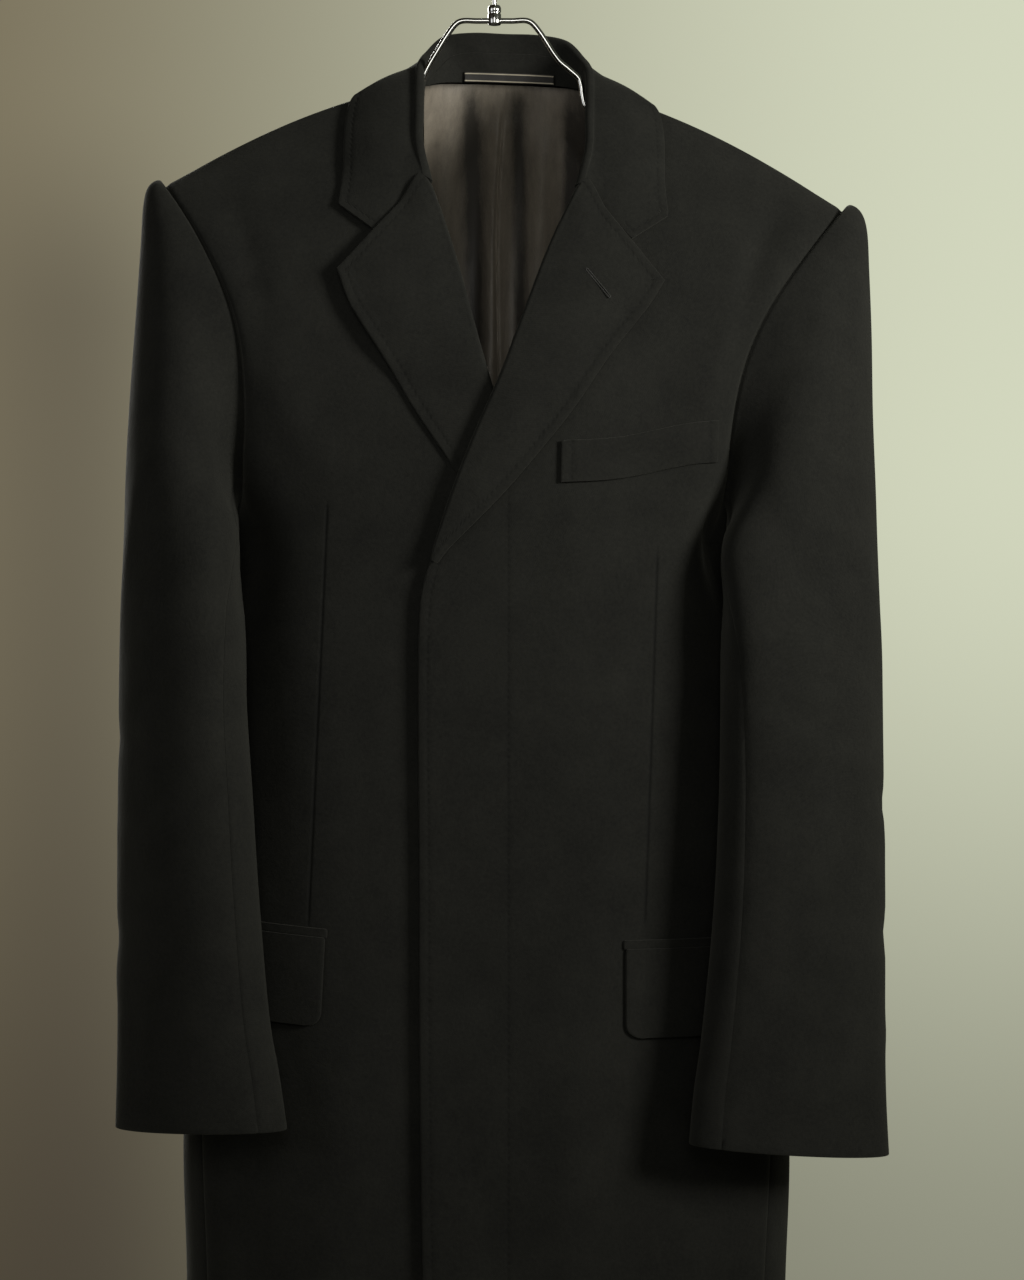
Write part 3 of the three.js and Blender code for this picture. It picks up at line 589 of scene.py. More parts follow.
def tube(
    name: str, rings: Sequence[Array], tips: Sequence[Sequence[float]] = (), sharp: float = 52.0
) -> bpy.types.Object:
    """Round body through rings of points.

    Args:
        name: The piece's name.
        rings: Points of each ring, all of the same number.
        tips: A point to close each end with, or none where the last ring meets the first.
        sharp: Edges that turn by more than this many degrees stay crisp.

    Returns:
        The object, linked to the scene.
    """
    n, m = len(rings), len(rings[0])
    closed = n - 1 if len(tips) else n
    faces: list[Sequence[int]] = [
        (i * m + j, i * m + (j + 1) % m, (i + 1) % n * m + (j + 1) % m, (i + 1) % n * m + j)
        for i in range(closed) for j in range(m)
    ]
    for j in range(m if len(tips) else 0):
        after = (j + 1) % m
        faces += [(after, j, n * m), ((n - 1) * m + j, (n - 1) * m + after, n * m + 1)]
    return make_object(name, np.vstack([*rings, *tips]), faces, sharp)


def dress(piece: bpy.types.Object, material: bpy.types.Material, slot: Slot, *nodes: str) -> None:
    """Give a piece its material and body, and hide the CAD nodes that it stands for.

    Args:
        piece: The finished object.
        material: What it is made of.
        slot: Not used.
        nodes: CAD nodes that it replaces.
    """
    piece.data.materials.append(material)
    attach(piece, "root")
    if nodes:
        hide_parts(*nodes)
    LOG.info("built %s: %d faces", piece.name, len(piece.data.polygons))


def plain_marks(shape: Sequence[int]) -> dict[str, Array]:
    """Marks of a wool grid with no stitching and no dart."""
    far, none = np.full(shape, FAR), np.zeros(shape)
    return {"stitch": far, "stitch_on": none, "run": none, "dart": far, "dart_on": none}


def edge_marks(hung: Array, *edges: str) -> dict[str, Array]:
    """Marks of pick stitching along the named edges of a grid.

    Args:
        hung: The grid's points.
        edges: Any of first_row, last_row, first_col and last_col.

    Returns:
        The marks that the wool reads.
    """
    down, wide = lengths(hung, 0), lengths(hung, 1)
    ways = {
        "first_row": (down, wide),
        "last_row": (down[-1:] - down, wide),
        "first_col": (wide, down),
        "last_col": (wide[:, -1:] - wide, down),
    }
    best, run = np.full(hung.shape[:2], 60.0), np.zeros(hung.shape[:2])
    for name in edges:
        distance, along = ways[name]
        run = np.where(distance < best, along, run)
        best = np.minimum(best, distance)
    stitched = {"stitch": best - 5.6, "stitch_on": np.ones(best.shape), "run": run}
    return {**plain_marks(best.shape), **stitched}


@dataclass
class Shell:
    """A closed sheet of cloth between two grids of points, with a rounded rim."""

    name: str
    outer: Array
    inner: Array
    bulges: tuple[float, float, float, float]  # first row, last column, last row, first column
    marks: dict[str, Array] = field(default_factory=dict)
    steps: int = 3

    def rim(self) -> tuple[Array, Array, Array]:
        """Points round the grid's edge, the way out of it there and how far it swells.

        Returns:
            Point numbers, ways and swells.
        """
        rows, cols = self.outer.shape[:2]
        p = self.outer
        way = np.zeros_like(p)
        way[0] += unit(p[0] - p[1])
        way[-1] += unit(p[-1] - p[-2])
        way[:, 0] += unit(p[:, 0] - p[:, 1])
        way[:, -1] += unit(p[:, -1] - p[:, -2])
        swell = np.zeros((rows, cols))
        swell[:, -1], swell[:, 0] = self.bulges[1], self.bulges[3]
        swell[0], swell[-1] = self.bulges[0], self.bulges[2]
        loop = np.concatenate([
            np.arange(cols),
            np.arange(1, rows) * cols + cols - 1,
            (rows - 1) * cols + np.arange(cols - 2, -1, -1),
            np.arange(rows - 2, 0, -1) * cols,
        ])
        return loop, unit(way.reshape(-1, 3)[loop]), swell.reshape(-1)[loop]

    def build(self) -> bpy.types.Object:
        """Make the object and write its marks as point attributes.

        Returns:
            The object.
        """
        rows, cols = self.outer.shape[:2]
        half = rows * cols
        outer, inner = self.outer.reshape(-1, 3), self.inner.reshape(-1, 3)
        loop, way, swell = self.rim()
        rings, levels = [loop], []
        for k in range(1, self.steps + 1):
            t = 0.5 - 0.5 * math.cos(math.pi * k / (self.steps + 1))
            push = swell * math.sin(math.pi * k / (self.steps + 1))
            levels.append(mix(outer[loop], inner[loop], t) + way * push[:, None])
            rings.append(2 * half + (k - 1) * len(loop) + np.arange(len(loop)))
        rings.append(loop + half)
        a = (np.arange(rows - 1)[:, None] * cols + np.arange(cols - 1)).reshape(-1)
        faces = [np.stack([a, a + 1, a + cols + 1, a + cols], axis=1)]
        faces.append(half + faces[0][:, ::-1])
        for one, two in zip(rings, rings[1:]):
            faces.append(np.stack([np.roll(one, -1), one, two, np.roll(two, -1)], axis=1))
        points = np.concatenate([outer, inner, *levels])
        piece = make_object(self.name, points, np.concatenate(faces).tolist())
        cloth = {"warp": lengths(self.outer, 0), "weft": lengths(self.outer, 1)}
        for name, values in {**cloth, **self.marks}.items():
            flat = np.broadcast_to(values, (rows, cols)).reshape(-1)
            full = np.concatenate([flat, flat] + [flat[loop]] * self.steps)
            layer = piece.data.attributes.new(name, "FLOAT", "POINT")
            layer.data.foreach_set("value", full.astype(np.float32))
        return piece

    def sew(self, material: bpy.types.Material, slot: Slot, *rests_on: str) -> None:
        """Build the sheet and dress it.

        Args:
            material: What it is made of.
            slot: Handed on to dress.
            rests_on: Not used.
        """
        piece = self.build()
        dress(piece, material, slot, self.name)


class Graph:
    """A node tree, filled by short calls."""

    def __init__(self, owner: bpy.types.Material | bpy.types.World) -> None:
        """Start an empty tree.

        Args:
            owner: What the tree belongs to.
        """
        owner.use_nodes = True
        self.tree = owner.node_tree
        self.tree.nodes.clear()

    def add(self, kind: str, settings: dict[str, Any] | None = None, **inputs: Any) -> bpy.types.Node:
        """Add a node.

        Args:
            kind: Its Blender type.
            settings: Properties of the node itself.
            inputs: Values or output sockets for its inputs, with _ for a space.

        Returns:
            The node.
        """
        node = self.tree.nodes.new(kind)
        for key, value in (settings or {}).items():
            setattr(node, key, value)
        for key, value in inputs.items():
            self.put(node, key.replace("_", " "), value)
        return node

    def put(self, node: bpy.types.Node, key: str | int, value: Any) -> None:
        """Set one input to a number, colour or output socket.

        Args:
            node: The node.
            key: The input's name or number.
            value: What it gets.
        """
        if isinstance(value, bpy.types.NodeSocket):
            self.tree.links.new(value, node.inputs[key])
        else:
            node.inputs[key].default_value = value

    def math(self, operation: str, a: Any, b: Any = 0.0) -> bpy.types.NodeSocket:
        """One step of arithmetic.

        Args:
            operation: Blender's name of it.
            a: First value.
            b: Second value.

        Returns:
            The output socket.
        """
        node = self.add("ShaderNodeMath", {"operation": operation})
        self.put(node, 0, a)
        self.put(node, 1, b)
        return node.outputs[0]

    def hump(self, distance: Any, width: float) -> bpy.types.NodeSocket:
        """Soft bell of height 1 round distance 0."""
        q = self.math("DIVIDE", distance, width)
        return self.math("EXPONENT", self.math("MULTIPLY", self.math("MULTIPLY", q, q), -1.0))

    def total(self, *terms: tuple[Any, float]) -> bpy.types.NodeSocket:
        """Sum of terms, each a socket and its weight.

        Args:
            terms: Each a socket and its weight.

        Returns:
            The output socket.
        """
        result: Any = 0.0
        for socket, weight in terms:
            result = self.math("ADD", self.math("MULTIPLY", socket, weight), result)
        return result

    def ramp(
        self, fac: Any, first: tuple[float, Colour], last: tuple[float, Colour], way: str = "LINEAR"
    ) -> bpy.types.NodeSocket:
        """Colour ramp between two stops, each a place and its colour.

        Args:
            fac: What it is read by.
            first: Its first stop.
            last: Its last stop.
            way: How it goes from one to the other.

        Returns:
            The output socket.
        """
        node = self.add("ShaderNodeValToRGB", Fac=fac)
        node.color_ramp.interpolation = way
        for element, (place, colour) in zip(node.color_ramp.elements, (first, last)):
            element.position, element.color = place, (*colour, 1)
        return node.outputs["Color"]


class Finish(Graph):
    """A material with one shader."""

    def __init__(self, name: str) -> None:
        """Start the material with its output and shader.

        Args:
            name: The material's name.
        """
        self.material = bpy.data.materials.new(name)
        super().__init__(self.material)
        self.shader = self.add("ShaderNodeBsdfPrincipled")
        self.add("ShaderNodeOutputMaterial", Surface=self.shader.outputs["BSDF"])

    def set(self, **values: Any) -> None:
        """Set inputs of the shader, with _ for a space."""
        for key, value in values.items():
            self.put(self.shader, key.replace("_", " "), value)

    def mark(self, name: str) -> bpy.types.NodeSocket:
        """A point attribute of the mesh."""
        return self.add("ShaderNodeAttribute", {"attribute_name": name}).outputs["Fac"]

    def place(self) -> bpy.types.NodeSocket:
        """The object's own coordinates, in metres."""
        return self.add("ShaderNodeTexCoord").outputs["Object"]

    def noise(
        self, scale: float, detail: float, roughness: float, vector: Any = None
    ) -> bpy.types.NodeSocket:
        """Noise about 0.5.

        Args:
            scale: Its scale.
            detail: Its detail.
            roughness: Its roughness.
            vector: Where it is read, or the object's own coordinates.

        Returns:
            The output socket.
        """
        where = self.place() if vector is None else vector
        node = self.add("ShaderNodeTexNoise", Vector=where, Scale=scale, Detail=detail, Roughness=roughness)
        return node.outputs["Fac"]

    def bump(self, *terms: tuple[Any, float]) -> None:
        """Raise the surface by a sum of sockets, each with its height in metres."""
        node = self.add("ShaderNodeBump", Strength=1.0, Distance=1.0, Height=self.total(*terms))
        self.set(Normal=node.outputs["Normal"])


@dataclass(frozen=True)
class Wool:
    """Heavy milled wool in a dark olive brown, with pick stitching where the marks say and painted shade in
    its stitch grooves and dart.
    """

    name: str = "wool_coating"
    dark: Colour = (0.0092, 0.0094, 0.0080)
    light: Colour = (0.0225, 0.0226, 0.0188)
    roughness: float = 0.93
    sheen: float = 0.13
    pitch: float = 5.0  # mm from one pick stitch to the next
    wale: float = 1.5  # mm from one line of the twill to the next

    def build(self) -> bpy.types.Material:
        """Make the material.

        Returns:
            The material.
        """
        g = Finish(self.name)
        warp, weft = g.mark("warp"), g.mark("weft")
        nap = g.noise(1400.0, 3.0, 0.65)
        tuft = g.noise(420.0, 3.0, 0.6)
        cloud = g.noise(38.0, 3.0, 0.55)
        drift = g.noise(11.0, 2.0, 0.5)
        diagonal = g.math("ADD", warp, g.math("MULTIPLY", weft, 1.35))
        twill = g.math("SINE", g.math("MULTIPLY", diagonal, 2 * math.pi / self.wale))
        stitch, run, shown = g.mark("stitch"), g.mark("run"), g.mark("stitch_on")
        beat = g.math("COSINE", g.math("MULTIPLY", run, 2 * math.pi / self.pitch))
        dimple = g.math("MULTIPLY", g.hump(stitch, 1.0), g.math("ADD", g.math("MULTIPLY", beat, 0.5), 0.5))
        valley = g.hump(stitch, 2.4)
        groove = g.math("MULTIPLY", g.total((dimple, 0.55), (valley, 0.45)), shown)
        away, sewn = g.mark("dart"), g.mark("dart_on")
        dart = g.math("MULTIPLY", g.hump(away, 1.1), sewn)
        ripple = g.math("SINE", g.math("MULTIPLY", warp, 0.33))
        pucker = g.math("MULTIPLY", g.math("MULTIPLY", g.hump(away, 7.0), sewn), ripple)
        g.bump((nap, 0.00016), (tuft, 0.00022), (cloud, 0.0007), (drift, 0.0016), (twill, 0.000012),
               (groove, -0.00036), (dart, -0.0005), (pucker, 0.00016))
        shade = g.total((nap, 0.34), (tuft, 0.42), (cloud, 0.30), (twill, 0.02), (drift, 0.22))
        # Stitch grooves and the dart are dented by the bump and also painted darker: painted shade in these
        # dents.
        shade = g.math("SUBTRACT", shade, g.total((groove, 0.10), (dart, 0.22)))
        g.set(
            Base_Color=g.ramp(shade, (0.46, self.dark), (0.82, self.light)),
            Roughness=g.math("ADD", g.math("MULTIPLY", tuft, 0.06), self.roughness - 0.03),
            Specular_IOR_Level=0.22, Sheen_Weight=self.sheen, Sheen_Roughness=0.45,
            Sheen_Tint=(0.62, 0.62, 0.52, 1),
        )
        return g.material


@dataclass(frozen=True)
class Satin:
    """Brown-black satin lining with fine upright threads, darkened by painted shade where the lining's mark
    says.
    """

    name: str = "satin_lining"
    # dark is the satin's colour in full painted shade, light its colour where no painted shade falls.
    dark: Colour = (0.050, 0.044, 0.036)
    light: Colour = (0.286, 0.249, 0.197)

    def build(self) -> bpy.types.Material:
        """Make the material.

        Returns:
            The material.
        """
        g = Finish(self.name)
        stretch = g.add("ShaderNodeMapping", Vector=g.place(), Scale=(1.0, 1.0, 0.04)).outputs["Vector"]
        thread = g.noise(2600.0, 2.0, 0.5, stretch)
        slub = g.noise(260.0, 3.0, 0.6, stretch)
        cloud = g.noise(30.0, 2.0, 0.5)
        g.bump((thread, 0.00003), (slub, 0.00006), (cloud, 0.0006))
        # The lining's mark darkens the colour: painted shade in the folds, under the neck seam and low down.
        shade = g.total((thread, 0.3), (slub, 0.4), (cloud, 0.3), (g.mark("painted_shade"), -0.62))
        g.set(
            Base_Color=g.ramp(shade, (0.0, self.dark), (0.62, self.light)),
            Roughness=g.math("ADD", g.math("MULTIPLY", slub, 0.12), 0.34),
            Specular_IOR_Level=0.55, Anisotropic=0.35, Sheen_Weight=0.12, Sheen_Tint=(0.75, 0.62, 0.50, 1),
        )
        return g.material


@dataclass(frozen=True)
class Ribbon:
    """Bare woven neck strip with a thin cream line along each edge."""

    name: str = "neck_ribbon"
    ground: Colour = (0.020, 0.018, 0.015)
    cream: Colour = (0.56, 0.50, 0.38)
    lines: tuple[float, float] = (0.9, 6.0)  # mm from the strip's lower edge

    def build(self) -> bpy.types.Material:
        """Make the material.

        Returns:
            The material.
        """
        g = Finish(self.name)
        across = g.mark("across")
        near, far = (g.hump(g.math("SUBTRACT", across, place), 0.42) for place in self.lines)
        line = g.math("MINIMUM", g.math("ADD", near, far), 1.0)
        rib = g.math("SINE", g.math("MULTIPLY", g.mark("warp"), 2 * math.pi / 0.55))
        grain = g.noise(1500.0, 2.0, 0.6)
        g.bump((rib, 0.00004), (grain, 0.00006), (line, 0.0001))
        tone = g.math("MULTIPLY", line, g.math("ADD", g.math("MULTIPLY", grain, 0.5), 0.7))
        g.set(
            Base_Color=g.ramp(tone, (0.12, self.ground), (0.8, self.cream)),
            Roughness=g.math("ADD", g.math("MULTIPLY", grain, 0.15), 0.55),
        )
        return g.material


@dataclass(frozen=True)
class Chrome:
    """Plated steel wire with faint rub marks."""

    name: str = "hanger_chrome"
    tint: Colour = (0.72, 0.72, 0.69)

    def build(self) -> bpy.types.Material:
        """Make the material.

        Returns:
            The material.
        """
        g = Finish(self.name)
        rub = g.noise(700.0, 4.0, 0.7)
        haze = g.noise(60.0, 2.0, 0.5)
        worn = tuple(0.72 * c for c in self.tint)
        g.bump((rub, 0.000008), (haze, 0.00004))
        g.set(
            Base_Color=g.ramp(haze, (0.3, worn), (0.6, self.tint)),
            Roughness=g.total((rub, 0.16), (haze, 0.10)), Metallic=1.0,
        )
        return g.material


@dataclass(frozen=True)
class Thread:
    """Dull silk twist of the hand-worked buttonhole."""

    name: str = "buttonhole_twist"
    colour: Colour = (0.023, 0.022, 0.017)

    def build(self) -> bpy.types.Material:
        """Make the material.

        Returns:
            The material.
        """
        g = Finish(self.name)
        fibre = g.noise(3000.0, 2.0, 0.6)
        g.bump((fibre, 0.00004))
        dark = tuple(0.5 * c for c in self.colour)
        g.set(Base_Color=g.ramp(fibre, (0.3, dark), (0.7, self.colour)), Roughness=0.6, Sheen_Weight=0.3)
        return g.material


FRONT_LEFT_CREASES = (
    Crease(182, -250, 82, 60, 13, -3.2, 5),
    Crease(150, -330, 70, 60, 16, 1.4, 4),
    Crease(120, -560, 86, 120, 22, 1.2, 4),
    Crease(60, -900, 90, 220, 26, 1.6, 8),
    Crease(150, -1000, 88, 200, 22, -1.8, -6),
    Crease(5, -1050, 90, 180, 20, -1.2, 5),
    Crease(90, -640, 8, 40, 12, 0.7, 0),
)
FRONT_RIGHT_CREASES = (
    Crease(178, -260, 80, 60, 15, -2.0, 4),
    Crease(140, -360, 64, 60, 18, 1.2, 4),
    Crease(120, -560, 92, 120, 24, 1.0, -4),
    Crease(100, -960, 90, 200, 26, 1.5, -8),
    Crease(165, -1040, 92, 160, 20, -1.6, 5),
)
BACK_CREASES = (
    Crease(60, -300, 76, 110, 20, 1.6, 6),
    Crease(120, -420, 84, 120, 22, -1.8, -5),
    Crease(40, -700, 90, 240, 22, 1.8, 6),
    Crease(100, -900, 88, 260, 20, -2.2, -6),
    Crease(150, -760, 92, 200, 22, 1.5, 5),
    Crease(90, -210, 20, 50, 12, 1.0, 3),
)


@dataclass
class BodyPanel:
    """A front or back panel of one side, from the hem to the shoulder seam."""

    name: str
    edge: Table
    facing: int
    side: Side
    over: bool
    creases: tuple[Crease, ...]
    columns: int = 84
    step: float = 6.0
    rises: int = 92
    seam_turn: float = 0.0012  # half the side seam's gap, as an angle
    passes: int = 260  # how many times the armpit's level is smoothed
    level: float = 52.0  # how far from it

    def angles(self, half: Array, seam: Array, z: Array) -> tuple[Array, Array]:
        """First and last angle of each row under the armpit.

        Args:
            half: Half width of the body at each row.
            seam: Angle of the side seam.
            z: Height of the row.

        Returns:
            The two angles of each row.
        """
        if self.facing > 0:
            return math.pi - angle_at(MIDDLE / half), seam + self.seam_turn
        edge = FRONT_EDGE.at(z, "over" if self.over else "under")
        return angle_at(edge / half), seam - self.seam_turn

    def outline(self) -> Array:
        """Grid of points on the panel's face, in the square coat.

        Returns:
            The points.
        """
        t = np.linspace(0, 1, self.columns + 1)[None, :]
        z = np.append(np.arange(HEM_Z, ARMPIT_Z - 2, self.step), ARMPIT_Z - 3)
        start, end = self.angles(BODY.at(z, "half"), np.radians(BODY.at(z, "seam")), z)
        under = lower(mix(start[:, None], end[:, None], t), z[:, None])
        v = np.linspace(0, 1, self.rises)
        arm_x = armhole(np.pi * (1 - v))[:, 0]
        edge_x = self.edge.at(v, "x")
        if self.facing > 0:
            edge_x = np.maximum(MIDDLE, edge_x)
        angle = mix(angle_at(edge_x / arm_x)[:, None], math.pi / 2 - 0.0014, t)
        above = upper(self.edge, self.facing, v[:, None], across_at(angle))
        above[..., 1] += self.facing * SEAM * fade(0.97, 1.0, v)[:, None]
        return np.concatenate([under, above])

    def build(self, material: bpy.types.Material) -> None:
        """Make the panel and dress it.

        Args:
            material: What it is made of.
        """
        p = self.outline()
        x, z = p[..., 0], p[..., 2]
        width = lengths(p, 1)
        near = 0.5 * bell(z - ARMPIT_Z, self.level) * fade(0, 7, width[:, -1:] - width)
        for _ in range(self.passes):
            shift = np.zeros_like(x)
            shift[1:-1] = (p[:-2, :, 1] + p[2:, :, 1]) / 2 - p[1:-1, :, 1]
            p[..., 1] += near * shift
        if self.over:
            p[..., 1] -= overlap(x, z)
        width = lengths(p, 1)
        to_seam = width[:, -1:] - width
        to_top = lengths(p[::-1], 0)[::-1]
        free = fade(0, 34, to_seam) * fade(0, 40, to_top)
        if self.facing > 0:
            free = free * fade(0, 30, width)
        way = inward(p)
        last = way.shape[1] - 1
        above = z > ARMPIT_Z - 1
        turn = fade(last - 3, last, np.arange(last + 1))[None, :, None] * above[..., None]
        way = unit(mix(way, inward_at_armhole(p), turn))
        p = p - way * (DEEPER * creased(self.creases, x, z) * free)[..., None]
        back = p + way * WALL
        p = p + way * (0.8 * bell(to_seam, DENT) + 0.5 * bell(to_top, DENT))[..., None]
        if self.facing < 0:
            p, back = pitch(p, self.side), pitch(back, self.side)
        else:
            p = p + way * (0.5 * bell(width, DENT))[..., None]
        outer, inner = hang(p, self.side.value), hang(back, self.side.value)
        free_edge = FINISHED if self.facing < 0 else CUT
        shell = Shell(self.name, outer, inner, (FINISHED, CUT, CUT, free_edge), self.marks(outer, width))
        shell.sew(material, Slot.WOOL, "hanger_wire")

    def marks(self, hung: Array, width: Array) -> dict[str, Array]:
        """Distances to the stitched lines and the dart, in millimetres.

        Args:
            hung: The panel's hung points.
            width: Distance from its first column.

        Returns:
            The marks that the wool reads.
        """
        x, z = hung[..., 0], hung[..., 2]
        found = {**plain_marks(x.shape), "run": lengths(hung, 0)}
        if self.facing > 0:
            return found
        if self.over:
            edge, fly = width - 5.5, 9.5 - x
            found["stitch"] = np.where(np.abs(edge) < np.abs(fly), edge, fly)
            found["stitch_on"] = np.where(edge < 26, fade(-440, -462, z), fade(-398, -408, z))
            found["dart"] = x - mix(110.5, 102.0, (z + 454) / -250.0)
            top = fade(-446, -462, z)
        else:
            found["dart"] = x - mix(-113.0, -126.0, (z + 420) / -284.0)
            top = fade(-412, -430, z)
        found["dart_on"] = top * fade(-706, -700, z)
        return found


def clear_of_body(p: Array) -> Array:
    """Keep sleeve points clear of the body beside them.

    Args:
        p: Points of a sleeve.

    Returns:
        The points, moved out where they were too near.
    """
    x, y, z = p[..., 0], p[..., 1], p[..., 2]
    gap = 0.8 + 5.7 * fade(-440, -520, z)
    half = BODY.at(z, "half") + gap
    depth = np.where(y < 0, BODY.at(z, "front"), BODY.at(z, "back")) + gap
    f = (np.abs(x) / half) ** SQUARE + (np.abs(y) / depth) ** SQUARE
    grow = np.where((z > ARMPIT_Z) | (f >= 1), 1.0, np.maximum(f, 1e-6) ** (-1 / SQUARE))
    return grid_of(x * grow, y * grow, z)


LEFT_SLEEVE_CREASES = (
    Crease(40, -600, 16, 46, 9, -3.0, 6),
    Crease(66, -640, -8, 40, 9, 2.0, 5),
    Crease(20, -700, 12, 52, 10, -2.0, -5),
    Crease(80, -560, 24, 40, 9, -2.4, 4),
    Crease(30, -470, 70, 70, 12, 1.8, 4),
    Crease(60, -780, 84, 60, 12, 1.2, 4),
    Crease(92, -420, 62, 60, 10, -2.2, 5),
    Crease(-60, -620, 14, 46, 10, -2.4, 5),
    Crease(-40, -760, -10, 46, 10, 1.6, 4),
)
RIGHT_SLEEVE_CREASES = (
    Crease(46, -590, -10, 46, 10, -2.4, 5),
    Crease(70, -650, 12, 44, 9, 1.8, -5),
    Crease(26, -720, 8, 50, 10, -1.8, 5),
    Crease(84, -540, 30, 40, 10, -2.2, 5),
    Crease(34, -450, 74, 80, 13, 1.6, 4),
    Crease(58, -790, 86, 60, 12, 1.2, -4),
    Crease(-56, -600, 12, 46, 10, -2.2, 5),
    Crease(-36, -740, -12, 46, 10, 1.8, 4),
)


@dataclass
class SleevePanel:
    """One half of a sleeve, between two angles in degrees round it."""

    name: str
    side: Side
    start: float
    end: float
    creases: tuple[Crease, ...]
    columns: int = 64
    rows: int = 150
    last_ring: float = 14.0
    crowding: float = 1.15  # how much closer the rows lie at the top
    seam_turn: float = 0.15  # half a seam's gap, in degrees

    def face(self) -> tuple[Array, Array]:
        """Grid of points on the cloth's face and the ring centre behind each.

        Returns:
            The points, and the way into the cloth at each.
        """
        letter = "L" if self.side is Side.LEFT else "R"
        ring = self.last_ring * np.linspace(0, 1, self.rows + 1) ** self.crowding
        out = grid_of(SLEEVE.at(ring, "out" + letter), SLEEVE.at(ring, "outY"), SLEEVE.at(ring, "outZ"))
        into = grid_of(SLEEVE.at(ring, "in" + letter), SLEEVE.at(ring, "inY"), SLEEVE.at(ring, "inZ"))
        centre, lean = ((out + into) / 2)[:, None], ((out - into) / 2)[:, None]
        degrees = np.linspace(self.start + self.seam_turn, self.end - self.seam_turn, self.columns + 1)
        turn = np.radians(degrees)[None, :]
        s, c = np.sin(turn), np.cos(turn)
        p = centre + lean * c[..., None]
        dip, depth = SLEEVE.at(ring, "dip")[:, None], SLEEVE.at(ring, "depth")[:, None]
        p = clear_of_body(grid_of(p[..., 0] - dip * s * s, p[..., 1] - depth * s, p[..., 2]))
        p[..., 0] += 2.4 * SEAM * (1 - fade(0, 0.6, ring))[:, None]
        level = np.where(ring[:, None] > 8, p[..., 2], mix(centre[..., 2], p[..., 2], ring[:, None] / 9.0))
        middle = grid_of(np.broadcast_to(centre[..., 0], level.shape), centre[..., 1], level)
        way = unit(middle - p)
        first = (1 - fade(0, 1.0, ring))[:, None, None]
        way = unit(mix(way, inward_at_armhole(p), first))
        off_seams = fade(self.start, self.start + 14, degrees) * fade(self.end, self.end - 14, degrees)
        free = fade(3.5, 6.5, ring)[:, None] * off_seams
        height = creased(self.creases, degrees[None, :], p[..., 2]) * free
        return p - way * height[..., None], way

    def build(self, material: bpy.types.Material) -> None:
        """Make the half sleeve and dress it.

        Args:
            material: What it is made of.
        """
        p, way = self.face()
        wide = lengths(p, 1)
        to_side = np.minimum(wide, wide[:, -1:] - wide)
        sunk = 0.6 * bell(to_side, DENT) + 0.8 * bell(lengths(p, 0), DENT)
        outer = hang(pitch(p + way * sunk[..., None], self.side), self.side.value)
        inner = hang(pitch(p + way * WALL, self.side), self.side.value)
        shell = Shell(self.name, outer, inner, (CUT, CUT, FINISHED, CUT), plain_marks(outer.shape[:2]))
        shell.sew(material, Slot.WOOL, "hanger_wire")


@dataclass(frozen=True)
class Bed:
    """The face of one front, which flat patches are laid on."""

    edge: Table
    side: Side
    over: bool

    def place(self, x: Array, z: Array, lift: Array) -> Array:
        """Hung points at places seen from the front, lifted off the cloth.

        Args:
            x: Distance out from the middle.
            z: Height.
            lift: Height over the cloth.

        Returns:
            The hung points.
        """
        source = np.array(x, float)
        for _ in range(6):
            source = x + drawn(source, z, self.side)
        y = surface_y(self.edge, -1, source, z)
        if self.over:
            y = y - overlap(source, z)
        return hang(grid_of(x, y - lift, z), self.side.value)


LEFT_BED = Bed(OVER_EDGE, Side.LEFT, True)
RIGHT_BED = Bed(UNDER_EDGE, Side.RIGHT, False)


